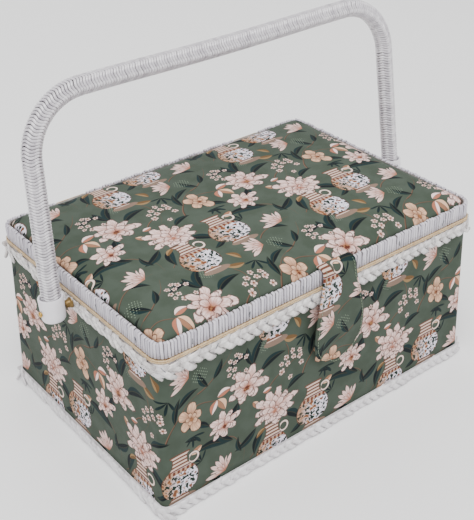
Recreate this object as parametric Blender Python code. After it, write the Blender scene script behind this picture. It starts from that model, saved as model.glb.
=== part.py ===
"""Sewing box: fabric-covered box with a padded hinged lid, a wrapped carrying handle,
a closing flap and two lift-out trays.

Metres, +Z up. X runs along the length, the flap is on the front (-Y), the lid is hinged at
the back (+Y), and the origin is on the floor under the middle of the box.
"""
import math

import bmesh
import bpy
from mathutils import Matrix, Vector

GAP = 0.0003                      # clearance between pieces that touch

# Box: half sizes over the fabric, at the floor and under the rim
BASE_X, BASE_Y = 0.1625, 0.1110
TOP_X, TOP_Y = 0.1585, 0.1098
BODY_TOP = 0.1425
CORNER_BASE, CORNER_TOP = 0.005, 0.009
COVER = 0.0008                    # printed cloth on the walls
BOARD = 0.0030                    # wall and base boards
LINING = 0.0012
UNDERSIDE = 0.0013                # card under the base
FRAME_TOP = 0.1457                # top of the wooden frame on the walls
WALL = COVER + BOARD + LINING + 2 * GAP

# Trims round the box
BRAID = 0.0027                    # thickness of both braids
RIM_BRAID_Z = (0.1312, 0.1424)
BASE_BRAID_TOP = 0.0120
STRAW_RADIUS = 0.0014
STRAW_Z = 0.1442

# Lid: half sizes over the stapled rim
LID_X, LID_Y = 0.1600, 0.1113
LID_CORNER = 0.0115
RIM_BOTTOM, RIM_TOP = 0.1463, 0.1590
STRIP = 0.0010                    # flat strips round the rim
RAIL = 0.0024                     # thin rail inside them
LID_BOARD_Z = (0.1500, 0.1525)
LID_LINING_Z = (0.1466, 0.1497)
PAD_EDGE = 0.0040                 # from the rim's outside to the padded top
PAD_CROWN = ((0.0000, 0.1530), (0.0001, 0.1562), (0.0012, 0.1590), (0.0040, 0.1612), (0.0100, 0.1630),
             (0.0240, 0.1648), (0.0460, 0.1662), (0.0760, 0.1670))     # inset and height of its rings
PAD_COVER = 0.0010

# Lid hinges
HINGE_Y, HINGE_Z = 0.1128, 0.1460
HINGE_X = 0.0950                  # middle of each hinge
HINGE_HALF = 0.0130
KNUCKLE, KNUCKLE_HOLE, HINGE_PIN = 0.0019, 0.0010, 0.0007
LEAF = 0.0009
HINGE_FOOT = 0.1348               # lower edge of the box leaf, in a notch of the braid

# Flap
FLAP_X = 0.0050
FLAP_THICK = 0.0024
FLAP_AXIS = (-0.1073, 0.1612)     # Y and Z where it bends up
FLAP_LINE = ((-0.1071, 0.1612, 0.0165), (-0.1105, 0.1614, 0.0165), (-0.1133, 0.1602, 0.0165),
             (-0.1146, 0.1565, 0.0167), (-0.1154, 0.1450, 0.0180), (-0.1165, 0.1300, 0.0215),
             (-0.1170, 0.1140, 0.0248), (-0.1163, 0.0990, 0.0256), (-0.1154, 0.0900, 0.0246),
             (-0.1148, 0.0830, 0.0215), (-0.1144, 0.0775, 0.0160), (-0.1142, 0.0745, 0.0085))
MAGNET_Z, MAGNET_RADIUS = 0.0920, 0.0070

# Handle
PIVOT_Z = 0.1387
TILT = math.radians(6.5)          # it stands leaning back
GRIP_HEIGHT = 0.1588              # pivot to the middle of the crossbar
LEG_FOOT, LEG_TOP = 0.1775, 0.1722
BEND = 0.0460
SAG = 0.0012
WRAP_RADIUS, CORE_RADIUS = 0.00725, 0.0046
WRAP_START, CORE_START = 0.0028, -0.0050
FERRULE = ((-0.0084, 0.0072), (-0.0072, 0.0089), (-0.0040, 0.0094), (0.0112, 0.0097))
FERRULE_BORE, FERRULE_FLOOR = 0.0079, -0.0056
PIN_RADIUS, PIN_HOLE = 0.0015, 0.0019

# Trays
TRAY_X, TRAY_Y = 0.1490, 0.1018   # half sizes of the pair
TRAY_Z = (0.0845, 0.1200)
TRAY_SPLIT = 0.0008               # half the gap between the two
TRAY_WALL, TRAY_LIP, TRAY_FLOOR = 0.0016, 0.0020, 0.0016
LEDGE_Z = (0.0780, 0.0842)
LEDGE_DEEP = 0.0070

PAINTS = {
    "board": ((0.46, 0.34, 0.22), 0.8, 0.0),
    "print": ((0.11, 0.15, 0.12), 0.75, 0.0),
    "satin": ((0.78, 0.74, 0.70), 0.5, 0.0),
    "white": ((0.80, 0.78, 0.81), 0.45, 0.0),
    "straw": ((0.80, 0.66, 0.42), 0.6, 0.0),
    "foam": ((0.85, 0.83, 0.76), 0.9, 0.0),
    "brass": ((0.75, 0.53, 0.22), 0.3, 1.0),
    "steel": ((0.55, 0.55, 0.56), 0.35, 1.0),
    "cup": ((0.86, 0.84, 0.87), 0.3, 0.0),
    "tray": ((0.82, 0.83, 0.84), 0.35, 0.0),
}


# ---------------------------------------------------------------- tools

def clear_scene():
    for thing in list(bpy.data.objects):
        bpy.data.objects.remove(thing)


def material(name, paint):
    colour, roughness, metallic = PAINTS[paint]
    made = bpy.data.materials.new(name)
    made.use_nodes = True
    shader = made.node_tree.nodes["Principled BSDF"]
    shader.inputs["Base Color"].default_value = (*colour, 1)
    shader.inputs["Roughness"].default_value = roughness
    shader.inputs["Metallic"].default_value = metallic
    return made


def add(name, bm, paint, smooth=False):
    """Turn a bmesh into a named object with its own material."""
    bmesh.ops.recalc_face_normals(bm, faces=bm.faces)
    mesh = bpy.data.meshes.new(name)
    bm.to_mesh(mesh)
    bm.free()
    if smooth:
        mesh.shade_smooth()
        mesh.set_sharp_from_angle(angle=math.radians(40))
    made = bpy.data.objects.new(name, mesh)
    made.data.materials.append(material(name, paint))
    bpy.context.collection.objects.link(made)
    return made


def skin(name, loops, paint, ring=False, smooth=False):
    """Join loops of points into a closed skin: capped at its ends, or a ring."""
    bm = bmesh.new()
    rows = [[bm.verts.new(point) for point in loop] for loop in loops]
    pairs = list(zip(rows, rows[1:]))
    if ring:
        pairs.append((rows[-1], rows[0]))
    else:
        bm.faces.new(rows[0])
        bm.faces.new(rows[-1])
    count = len(rows[0])
    for low, high in pairs:
        for i in range(count):
            j = (i + 1) % count
            bm.faces.new((low[i], low[j], high[j], high[i]))
    return add(name, bm, paint, smooth)


def block(name, low, high, paint):
    plan = [(low[0], low[1]), (high[0], low[1]), (high[0], high[1]), (low[0], high[1])]
    return skin(name, [[(x, y, z) for x, y in plan] for z in (low[2], high[2])], paint)


def rounded(half_x, half_y, radius, z, middle=(0, 0), arc=6):
    """A rounded rectangle, anticlockwise from the right end of its front side."""
    points = []
    for quarter, (sx, sy) in enumerate(((1, -1), (1, 1), (-1, 1), (-1, -1))):
        for step in range(arc + 1):
            angle = math.radians(-90 + 90 * quarter + 90 * step / arc)
            points.append((middle[0] + sx * (half_x - radius) + radius * math.cos(angle),
                           middle[1] + sy * (half_y - radius) + radius * math.sin(angle), z))
    return points


def body_loop(inset, z):
    share = 1 - z / BODY_TOP
    half_x = TOP_X + (BASE_X - TOP_X) * share
    half_y = TOP_Y + (BASE_Y - TOP_Y) * share
    corner = CORNER_TOP + (CORNER_BASE - CORNER_TOP) * share
    return rounded(half_x - inset, half_y - inset, max(corner - inset, 0.0015), z)


def lid_loop(inset, z):
    return rounded(LID_X - inset, LID_Y - inset, max(LID_CORNER - inset, 0.0020), z)


def band(name, loop, profile, paint, smooth=False):
    """A closed profile of insets and heights, carried round the box or the lid."""
    return skin(name, [loop(inset, z) for inset, z in profile], paint, ring=True, smooth=smooth)


def slab(name, loop, inset, heights, paint):
    return skin(name, [loop(inset, z) for z in heights], paint)


def rails(prefix, loop, outer, inner, heights, paint):
    """Four boards round the box, each ending in the middle of a rounded corner."""
    made = []
    for start, side in ((3, "right"), (10, "back"), (17, "left"), (24, "front")):
        plan = []
        for z in heights:
            outside, inside = loop(outer, z), loop(inner, z)
            spots = [(start + k) % len(outside) for k in range(8)]
            edge = []
            for points, order in ((outside, spots), (inside, spots[::-1])):
                run = [Vector(points[k]) for k in order]
                run[0] += (run[1] - run[0]).normalized() * GAP * 0.6
                run[-1] += (run[-2] - run[-1]).normalized() * GAP * 0.6
                edge += run
            plan.append(edge)
        made.append(skin(f"{prefix}_{side}", plan, paint))
    return made


def turned(name, profile, paint, axis="X", middle=(0, 0, 0), sides=20, ring=False, hide=False):
    """Turn a profile of (place along the axis, radius) round the axis."""
    loops = []
    for along, radius in profile:
        loop = []
        for k in range(sides):
            angle = 2 * math.pi * (k + 0.5) / sides
            across, up = radius * math.cos(angle), radius * math.sin(angle)
            spot = {"X": (along, across, up), "Y": (across, along, up), "Z": (across, up, along)}[axis]
            loop.append(Vector(middle) + Vector(spot))
        loops.append(loop)
    made = skin(name, loops, paint, ring=ring, smooth=True)
    if hide:
        as_tool(made)
    return made


def as_tool(cutter):
    cutter.hide_render = True
    cutter.display_type = "WIRE"


def combine(target, tool, operation="DIFFERENCE"):
    as_tool(tool)
    step = target.modifiers.new(operation.lower(), "BOOLEAN")
    step.operation = operation
    step.object = tool


def axis_empty(name, place, turn=None):
    empty = bpy.data.objects.new(name, None)
    bpy.context.collection.objects.link(empty)
    empty.matrix_world = Matrix.Translation(place) @ (turn or Matrix.Identity(4))
    return empty


def hang(pieces, empty, local=False):
    """Parent pieces to a joint's empty: where they stand, or drawn in the empty's own frame."""
    for piece in pieces:
        piece.parent = empty
        if not local:
            piece.matrix_parent_inverse = empty.matrix_world.inverted()


# ---------------------------------------------------------------- box

def make_walls():
    slab("base_underside", body_loop, 0.0, (0.0, UNDERSIDE), "board")
    board_inset = COVER + GAP
    board_bottom = UNDERSIDE + GAP
    board_top = board_bottom + BOARD
    slab("base_board", body_loop, board_inset, (board_bottom, board_top), "board")
    walls = rails("wall_board", body_loop, board_inset, board_inset + BOARD,
                  (board_top + GAP, BODY_TOP - GAP), "board")
    cover = band("body_cover", body_loop, ((0, board_bottom), (0, BODY_TOP - GAP),
                                           (COVER, BODY_TOP - GAP), (COVER, board_bottom)), "print")
    outer, inner = board_inset + BOARD + GAP, WALL
    slab("base_lining", body_loop, outer, (board_top + GAP, board_top + GAP + LINING), "satin")
    foot = board_top + LINING + 2 * GAP
    lining = band("body_lining", body_loop, ((outer, foot), (outer, BODY_TOP - GAP),
                                             (inner, BODY_TOP - GAP), (inner, foot)), "satin")
    rails("top_frame", body_loop, 0.0, inner, (BODY_TOP, FRAME_TOP), "board")
    sides = {wall.name.rsplit("_", 1)[1]: wall for wall in walls}
    return cover, lining, sides


def make_trims():
    round_cord = []
    for k in range(8):
        angle = 2 * math.pi * k / 8
        round_cord.append((-GAP - STRAW_RADIUS - STRAW_RADIUS * math.cos(angle),
                           STRAW_Z + STRAW_RADIUS * math.sin(angle)))
    half = HINGE_HALF + 0.0008
    straws = {"straw_cord": ("DIFFERENCE", HINGE_X + half), "straw_cord_back": ("INTERSECT", HINGE_X - half)}
    for name, (operation, reach) in straws.items():
        straw = band(name, body_loop, round_cord, "straw", smooth=True)
        stretch = block("stretch", (-reach, TOP_Y - 0.01, STRAW_Z - 0.01),
                        (reach, TOP_Y + 0.01, STRAW_Z + 0.01), "straw")
        combine(straw, stretch, operation)
    braids = []
    for name, low, high in (("rim_braid", *RIM_BRAID_Z), ("base_braid", 0.0, BASE_BRAID_TOP)):
        bevel = 0.0009
        outside = -GAP - BRAID
        braids.append(band(name, body_loop, ((-GAP, low), (outside + bevel, low), (outside, low + bevel),
                                             (outside, high - bevel), (outside + bevel, high), (-GAP, high)),
                           "white"))
    return braids[0]


def make_ledges():
    half_x = TRAY_X - 0.0005
    wall_y = TOP_Y - WALL - GAP
    for name, side in (("tray_ledge_front", -1), ("tray_ledge_back", 1)):
        near, far = sorted((side * wall_y, side * (wall_y - LEDGE_DEEP)))
        block(name, (-half_x, near, LEDGE_Z[0]), (half_x, far, LEDGE_Z[1]), "board")


def make_pivot(side, cover, lining, wall, braid):
    """Pin, spacer and nut at one end of the handle, with the holes they need."""
    name = "left" if side < 0 else "right"
    height = (0, 0, PIVOT_Z)
    out = LEG_FOOT + FERRULE[2][1]
    pin = ((0.1496, 0.0011), (0.1501, PIN_RADIUS), (out + 0.0006, PIN_RADIUS), (out + 0.0008, 0.0024),
           (out + 0.0016, 0.0022), (out + 0.0022, 0.0014), (out + 0.0024, 0.0004))
    turned(f"pivot_pin_{name}", [(side * x, r) for x, r in pin], "brass", middle=height)
    braid_face = TOP_X + BRAID + 2 * GAP + 0.0001
    spacer = ((braid_face, PIN_HOLE), (braid_face, 0.0042), (braid_face + 0.0010, 0.0042),
              (braid_face + 0.0020, 0.0032), (LEG_FOOT - FERRULE[2][1] - 2 * GAP, 0.0030),
              (LEG_FOOT - FERRULE[2][1] - 2 * GAP, PIN_HOLE))
    turned(f"pivot_spacer_{name}", [(side * x, r) for x, r in spacer], "brass", middle=height, ring=True)
    nut_face = TOP_X - WALL - GAP
    nut = ((nut_face, PIN_HOLE), (nut_face, 0.0036),
           (nut_face - 0.0024, 0.0036), (nut_face - 0.0024, PIN_HOLE))
    turned(f"pivot_nut_{name}", [(side * x, r) for x, r in nut], "steel", middle=height, sides=6, ring=True)
    drill = turned(f"drill_{name}", [(side * 0.150, PIN_HOLE), (side * (LEG_FOOT - 0.012), PIN_HOLE)],
                   "brass", middle=height, sides=16, hide=True)
    for piece in (cover, lining, wall, braid):
        combine(piece, drill)


def make_hinge(side, braid, strips):
    """A three-knuckle brass hinge, let into the trims at the back."""
    name = "left" if side < 0 else "right"
    x = side * HINGE_X
    runs = {"box": ((-0.0040, 0.0040),), "lid": ((-HINGE_HALF, -0.0043), (0.0043, HINGE_HALF))}
    faces = {"box": TOP_Y + GAP, "lid": LID_Y - STRIP}
    heights = {"box": (HINGE_FOOT, 0.1430), "lid": (0.1488, RIM_TOP - 0.0016)}
    leaves = {}
    for leaf in ("box", "lid"):
        inner = faces[leaf]
        low, high = heights[leaf]
        made = block(f"hinge_{leaf}_leaf_{name}", (x - HINGE_HALF, inner, low),
                     (x + HINGE_HALF, inner + LEAF, high), "brass")
        for start, end in runs[leaf]:
            reach = (high - 0.001, HINGE_Z) if leaf == "box" else (HINGE_Z, low + 0.001)
            tab = block("tab", (x + start, inner, reach[0]), (x + end, inner + LEAF, reach[1]), "brass")
            combine(made, tab, "UNION")
            roll = turned("roll", [(x + start, KNUCKLE), (x + end, KNUCKLE)], "brass",
                          middle=(0, HINGE_Y, HINGE_Z), sides=14)
            combine(made, roll, "UNION")
        bore = turned("bore", [(x - 0.02, KNUCKLE_HOLE), (x + 0.02, KNUCKLE_HOLE)], "brass",
                      middle=(0, HINGE_Y, HINGE_Z), sides=12)
        combine(made, bore)
        leaves[leaf] = made
    ends = HINGE_HALF - 0.0004
    turned(f"hinge_pin_{name}", [(x - ends, HINGE_PIN), (x + ends, HINGE_PIN)], "steel",
           middle=(0, HINGE_Y, HINGE_Z), sides=10)
    half = HINGE_HALF + 0.0008
    notch = block("notch", (x - half, TOP_Y - 0.0005, HINGE_FOOT - 0.0008),
                  (x + half, HINGE_Y + 0.004, RIM_TOP - 0.0013), "board")
    for piece in (braid, strips):
        combine(piece, notch)
    return leaves["lid"]


def make_front_magnet():
    face = -(TOP_Y + (BASE_Y - TOP_Y) * (1 - MAGNET_Z / BODY_TOP)) - GAP
    turned("front_magnet", [(face, MAGNET_RADIUS), (face - 0.0012, MAGNET_RADIUS)], "steel", axis="Y",
           middle=(FLAP_X, 0, MAGNET_Z))
    return face - 0.0012


# ---------------------------------------------------------------- lid

def make_lid():
    inner = STRIP + GAP
    strips = band("lid_rim_strips", lid_loop, ((0, RIM_BOTTOM), (0, RIM_TOP - 0.0008), (0.0008, RIM_TOP),
                                               (0.0028, RIM_TOP), (0.0034, RIM_TOP - 0.0006),
                                               (0.0034, RIM_TOP - STRIP), (STRIP, RIM_TOP - STRIP),
                                               (STRIP, RIM_BOTTOM)), "white")
    frame = rails("lid_rail", lid_loop, inner, inner + RAIL,
                  (RIM_BOTTOM + GAP, RIM_TOP - STRIP - GAP), "board")
    board = slab("lid_board", lid_loop, inner + RAIL + GAP, LID_BOARD_Z, "board")
    pad_loops, under_loops = [], []
    for inset, z in PAD_CROWN:
        pad_loops.append(lid_loop(PAD_EDGE + inset, z))
        sunk = z - PAD_COVER * min(1, inset / 0.004)
        under_loops.append(lid_loop(PAD_EDGE + PAD_COVER + inset * 0.98, sunk))
    cover = skin("lid_cover", under_loops[::-1] + pad_loops, "print", smooth=True)
    foam_loops = []
    for inset, z in PAD_CROWN:
        drop = (PAD_COVER + GAP) * min(1, inset / 0.004)
        foam_loops.append(lid_loop(PAD_EDGE + PAD_COVER + GAP + inset, z - drop - 0.0001))
    pad = skin("lid_pad", foam_loops, "foam", smooth=True)
    lining = slab("lid_lining", lid_loop, inner + RAIL + GAP + 0.0005, LID_LINING_Z, "satin")
    cushion_top = LID_LINING_Z[0] - GAP
    dome = [(cushion_top - 0.0115 * math.sin(a), 0.0275 * math.cos(a)) for a in
            [math.radians(d) for d in (0, 18, 36, 54, 72, 86)]]
    cushion = turned("pin_cushion", dome, "print", axis="Z", middle=(-0.085, 0.0, 0), sides=24)
    pocket = skin("lid_pocket", [rounded(half, deep, 0.006, z, middle=(0.055, 0.005)) for half, deep, z in
                                 ((0.0640, 0.0460, cushion_top), (0.0640, 0.0460, cushion_top - 0.0025),
                                  (0.0610, 0.0430, cushion_top - 0.0040))], "satin")
    return strips, frame + [strips, board, cover, pad, lining, cushion, pocket]


def make_flap(magnet_face):
    loops = []
    for k, (y, z, half) in enumerate(FLAP_LINE):
        before, after = FLAP_LINE[max(k - 1, 0)], FLAP_LINE[min(k + 1, len(FLAP_LINE) - 1)]
        along = Vector((0, after[0] - before[0], after[1] - before[1])).normalized()
        off = Vector((0, along.z, -along.y)) * FLAP_THICK / 2
        middle = Vector((FLAP_X, y, z))
        side = Vector((half, 0, 0))
        loops.append([middle - side - off, middle + side - off, middle + side + off, middle - side + off])
    panel = skin("flap_panel", loops, "print")
    face = magnet_face - GAP
    disc = turned("flap_magnet", [(face, MAGNET_RADIUS), (face - 0.0011, MAGNET_RADIUS)], "steel", axis="Y",
                  middle=(FLAP_X, 0, MAGNET_Z))
    return [panel, disc]


# ---------------------------------------------------------------- handle

def handle_path(start):
    """Middle line of the handle, in its own frame with the pivot at the origin."""
    points = []
    corner_foot = GRIP_HEIGHT - BEND
    for k in range(4):
        share = k / 4
        up = start + (corner_foot - start) * share
        points.append((-(LEG_FOOT + (LEG_TOP - LEG_FOOT) * max(up, 0) / corner_foot), up))
    for k in range(9):
        angle = math.pi / 2 * k / 8
        points.append((-LEG_TOP + BEND - BEND * math.cos(angle), corner_foot + BEND * math.sin(angle)))
    inner = LEG_TOP - BEND
    for k in range(1, 8):
        x = -inner + 2 * inner * k / 8
        points.append((x, GRIP_HEIGHT - SAG * math.cos(math.pi * x / (2 * inner)) ** 2))
    points += [(-x, up) for x, up in points[:13][::-1]]
    return [Vector((x, 0, up)) for x, up in points]


def tube_loops(path, radius, sides=14):
    loops = []
    for k, point in enumerate(path):
        along = (path[min(k + 1, len(path) - 1)] - path[max(k - 1, 0)]).normalized()
        across = Vector((0, 1, 0))
        up = across.cross(along)
        loops.append([point + radius * (across * math.cos(a) + up * math.sin(a)) for a in
                      [2 * math.pi * (i + 0.5) / sides for i in range(sides)]])
    return loops


def make_handle():
    core = skin("handle_core", tube_loops(handle_path(CORE_START), CORE_RADIUS, 10), "board", smooth=True)
    path = handle_path(WRAP_START)
    wrap = skin("handle_wrap", tube_loops(path, WRAP_RADIUS) + tube_loops(path, CORE_RADIUS + GAP)[::-1],
                "white", ring=True, smooth=True)
    pieces = [core, wrap]
    for side, name in ((-1, "left"), (1, "right")):
        foot = (side * LEG_FOOT, 0, 0)
        profile = [(FERRULE[0][0], 0.0015)] + list(FERRULE)
        profile += [(FERRULE[-1][0], FERRULE_BORE), (FERRULE_FLOOR, FERRULE_BORE), (FERRULE_FLOOR, 0.0015)]
        cup = turned(f"ferrule_{name}", profile, "cup", axis="Z", middle=foot, sides=28, ring=True)
        drill = turned(f"ferrule_drill_{name}", [(side * (LEG_FOOT - 0.014), PIN_HOLE),
                                                 (side * (LEG_FOOT + 0.014), PIN_HOLE)], "brass", sides=12)
        for piece in (cup, core):
            combine(piece, drill)
        pieces += [cup, drill]
    return pieces


# ---------------------------------------------------------------- trays

def cells(side):
    """Plan of one tray's compartments: x from the middle of the box outwards, and y."""
    near, far = TRAY_SPLIT + TRAY_LIP + TRAY_WALL, TRAY_X - TRAY_LIP - TRAY_WALL
    front, back = -TRAY_Y + TRAY_LIP + TRAY_WALL, TRAY_Y - TRAY_LIP - TRAY_WALL
    if side < 0:
        rows = ((front, -0.0370, 3), (-0.0370 + TRAY_WALL, 0.0290, 2), (0.0290 + TRAY_WALL, back, 1))
    else:
        rows = ((front, -0.0370, 2), (-0.0370 + TRAY_WALL, back, 2))
    plan = []
    for low, high, count in rows:
        wide = (far - near - TRAY_WALL * (count - 1)) / count
        for k in range(count):
            start = near + k * (wide + TRAY_WALL)
            plan.append((start, start + wide, low, high))
    return plan


def make_tray(side):
    name = "tray_left" if side < 0 else "tray_right"
    centre = side * (TRAY_X + TRAY_SPLIT) / 2
    half_x, half_y = (TRAY_X - TRAY_SPLIT) / 2, TRAY_Y
    low, high = TRAY_Z
    loops = []
    for inset, z in ((TRAY_LIP + 0.0010, low), (TRAY_LIP, low + 0.0020), (TRAY_LIP, high - 0.0022),
                     (0, high - 0.0022), (0, high)):
        loops.append(rounded(half_x - inset, half_y - inset, 0.0075 - inset, z, middle=(centre, 0), arc=3))
    tray = skin(name, loops, "tray")
    for k, (x0, x1, y0, y1) in enumerate(cells(side)):
        middle = (side * (x0 + x1) / 2, (y0 + y1) / 2)
        loops = [rounded((x1 - x0) / 2 - draft, (y1 - y0) / 2 - draft, 0.0045, z, middle=middle, arc=3)
                 for draft, z in ((0.0009, low + TRAY_FLOOR), (0.0, high + 0.001))]
        combine(tray, skin(f"{name}_cell_{k}", loops, "tray"))
    return tray


# ---------------------------------------------------------------- assembly

def main():
    clear_scene()
    cover, lining, walls = make_walls()
    rim_braid = make_trims()
    make_ledges()
    for side, wall in ((-1, walls["left"]), (1, walls["right"])):
        make_pivot(side, cover, lining, wall, rim_braid)
    strips, lid_pieces = make_lid()
    for side in (-1, 1):
        lid_pieces.append(make_hinge(side, rim_braid, strips))
    flap_pieces = make_flap(make_front_magnet())
    handle_pieces = make_handle()

    lid_axis = axis_empty("lid_axis", (0, HINGE_Y, HINGE_Z))
    flap_axis = axis_empty("flap_axis", (FLAP_X, *FLAP_AXIS))
    lean = Matrix.Rotation(-TILT, 4, "X")
    handle_axis = axis_empty("handle_axis", (0, 0, PIVOT_Z), lean)
    bpy.context.view_layer.update()
    hang(lid_pieces, lid_axis)
    hang([flap_axis], lid_axis)
    hang(flap_pieces, flap_axis)
    hang(handle_pieces, handle_axis, local=True)
    for side in (-1, 1):
        tray = make_tray(side)
        slide = axis_empty(f"{tray.name}_slide", (side * TRAY_X / 2, 0, TRAY_Z[0]))
        bpy.context.view_layer.update()
        hang([tray], slide)


main()
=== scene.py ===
"""Sewing box: printed cloth over boards, a padded lid with a stapled rim, braided trims, a
wrapped carrying handle, a closing flap, satin linings and two trays.

Metres, +Z up. X runs along the length and the flap is on the front (-Y).
"""
import math

import bmesh
import bpy
from mathutils import Matrix, Vector

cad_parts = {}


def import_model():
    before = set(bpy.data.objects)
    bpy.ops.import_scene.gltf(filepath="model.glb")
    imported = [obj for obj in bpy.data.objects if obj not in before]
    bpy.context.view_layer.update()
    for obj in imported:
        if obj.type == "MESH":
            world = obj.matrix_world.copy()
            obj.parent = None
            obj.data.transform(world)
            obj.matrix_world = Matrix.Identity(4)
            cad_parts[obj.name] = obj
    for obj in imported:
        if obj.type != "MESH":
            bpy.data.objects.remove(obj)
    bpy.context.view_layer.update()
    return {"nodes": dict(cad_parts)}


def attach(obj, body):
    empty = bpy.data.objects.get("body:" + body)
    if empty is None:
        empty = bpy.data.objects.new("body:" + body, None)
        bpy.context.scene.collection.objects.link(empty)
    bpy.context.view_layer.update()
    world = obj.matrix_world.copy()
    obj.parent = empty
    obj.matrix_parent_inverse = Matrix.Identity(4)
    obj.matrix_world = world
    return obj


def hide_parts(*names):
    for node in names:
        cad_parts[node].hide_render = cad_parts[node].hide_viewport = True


# Box and lid: half sizes over the cloth, at the floor and under the rim
BASE_X, BASE_Y = 0.1625, 0.1110
TOP_X, TOP_Y = 0.1585, 0.1098
BODY_TOP = 0.1425
CORNER_BASE, CORNER_TOP = 0.005, 0.009
COVER = 0.0008
STRAW_Z = 0.1442
LID_X, LID_Y, LID_CORNER = 0.1600, 0.1113, 0.0115
RIM_BOTTOM, RIM_TOP = 0.1463, 0.1590
PAD_EDGE = 0.0040
HINGE_X, HINGE_HALF = 0.0950, 0.0130
FLAP_X = 0.0050
FLAP_LINE = ((-0.1071, 0.1612, 0.0165), (-0.1105, 0.1614, 0.0165), (-0.1133, 0.1602, 0.0165),
             (-0.1146, 0.1565, 0.0167), (-0.1154, 0.1450, 0.0180), (-0.1165, 0.1300, 0.0215),
             (-0.1170, 0.1140, 0.0248), (-0.1163, 0.0990, 0.0256), (-0.1154, 0.0900, 0.0246),
             (-0.1148, 0.0830, 0.0215), (-0.1144, 0.0775, 0.0160), (-0.1142, 0.0745, 0.0085))
SIDES = {-1: "left", 1: "right"}
PIVOT_Z = 0.1387
TILT = math.radians(6.5)
GRIP_HEIGHT, LEG_FOOT, LEG_TOP, BEND, SAG = 0.1588, 0.1775, 0.1722, 0.0460, 0.0012
WRAP_RADIUS, WRAP_START = 0.00725, 0.0028
STRIP_PITCH, WRAP_PITCH, STITCH_PITCH = 0.00272, 0.00228, 0.0028
CUSHION_X = -0.085
WRAP_CRESTS, WRAP_PHASE = 6, -1.99        # swellings of each turn of the winding, and where they start; the yarn's painted highlights follow them


# ---------------------------------------------------------------- shader tools

class Wire:
    """One value in a material, with arithmetic that adds Math nodes."""

    def __init__(self, recipe, socket):
        self.recipe = recipe
        self.socket = socket

    def math(self, operation, *others):
        return self.recipe.node("ShaderNodeMath", {"operation": operation}, [self, *others])

    def flipped(self, operation, other):
        return self.recipe.node("ShaderNodeMath", {"operation": operation}, [other, self])

    def __add__(self, other):
        return self.math("ADD", other)

    def __sub__(self, other):
        return self.math("SUBTRACT", other)

    def __rsub__(self, other):
        return self.flipped("SUBTRACT", other)

    def __mul__(self, other):
        return self.math("MULTIPLY", other)

    def __truediv__(self, other):
        return self.math("DIVIDE", other)

    def __pow__(self, other):
        return self.math("POWER", other)

    def __gt__(self, other):
        return self.math("GREATER_THAN", other)

    def __lt__(self, other):
        return self.math("LESS_THAN", other)

    def __abs__(self):
        return self.math("ABSOLUTE")

    __radd__ = __add__
    __rmul__ = __mul__


class Recipe:
    """Adds nodes to one material or node group."""

    def __init__(self, tree):
        self.tree = tree

    def node(self, kind, settings=None, inputs=None, output=0):
        made = self.tree.nodes.new(kind)
        for name, value in (settings or {}).items():
            if name == "curve":
                points = made.mapping.curves[0].points
                while len(points) < len(value):
                    points.new(0.5, 0.5)
                for point, place in zip(points, value):
                    point.location = place
                made.mapping.update()
            else:
                setattr(made, name, value)
        given = inputs.items() if isinstance(inputs, dict) else enumerate(inputs or [])
        for key, value in given:
            socket = made.inputs[key]
            if isinstance(value, Wire):
                self.tree.links.new(value.socket, socket)
            else:
                socket.default_value = value
        return Wire(self, made.outputs[output])

    def mix(self, share, a, b):
        return self.node("ShaderNodeMix", {"data_type": "RGBA"}, {0: share, 6: a, 7: b}, 2)

    def smooth(self, value, low, high):
        """0 at low to 1 at high, eased; low may be the larger."""
        return self.node("ShaderNodeMapRange", {"interpolation_type": "SMOOTHSTEP", "clamp": False},
                         {"Value": value, "From Min": low, "From Max": high})

    def vector(self, operation, *inputs, output=0):
        return self.node("ShaderNodeVectorMath", {"operation": operation}, list(inputs), output)

    def shift(self, place, times):
        """Scale a place by one number or by one for each axis."""
        scale = times if isinstance(times, tuple) else (times,) * 3
        return self.node("ShaderNodeMapping", None, {"Vector": place, "Scale": scale})

    def noise(self, spot, scale, detail=2.0):
        return self.node("ShaderNodeTexNoise", None, {"Vector": spot, "Scale": scale, "Detail": detail})

    def chance(self, number):
        return self.node("ShaderNodeTexWhiteNoise", {"noise_dimensions": "1D"}, {"W": number}, "Value")

    def side(self, place, way):
        """How far a place lies along one direction."""
        return self.vector("DOT_PRODUCT", place, way, output="Value")


def tint(code):
    """A linear colour from a six-digit sRGB code."""
    parts = [int(code[k:k + 2], 16) / 255 for k in (0, 2, 4)]
    return (*[part / 12.92 if part <= 0.04045 else ((part + 0.055) / 1.055) ** 2.4 for part in parts], 1.0)


SOCKETS = {"Ground": "NodeSocketColor", "Place": "NodeSocketVector", "Centre": "NodeSocketVector",
           "Across": "NodeSocketVector", "Up": "NodeSocketVector", "Tip": "NodeSocketColor",
           "Root": "NodeSocketColor", "Edge": "NodeSocketColor"}


def group(name, labels, draw):
    """A node group that paints one motif over the ground colour it is given."""
    tree = bpy.data.node_groups.new(name, "ShaderNodeTree")
    for label in labels:
        tree.interface.new_socket(label, in_out="INPUT", socket_type=SOCKETS.get(label, "NodeSocketFloat"))
    tree.interface.new_socket("Colour", in_out="OUTPUT", socket_type="NodeSocketColor")
    recipe = Recipe(tree)
    source = tree.nodes.new("NodeGroupInput")
    wires = {label: Wire(recipe, source.outputs[label]) for label in labels}
    painted = draw(recipe, wires)
    tree.links.new(painted.socket, tree.nodes.new("NodeGroupOutput").inputs[0])
    return tree


# ---------------------------------------------------------------- the printed cloth

TILE = (0.130, 0.122)             # repeat of the print, in metres
MM = 1000
PRINT_X, PRINT_Z = -0.161, 0.004           # where the repeat starts on the walls
LID_PRINT_X, LID_PRINT_Y = -0.183, -0.059   # and on the lid


def ink(code):
    """A printing ink, a little deeper than its code."""
    return (*[part ** 1.3 for part in tint(code)[:3]], 1.0)


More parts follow.
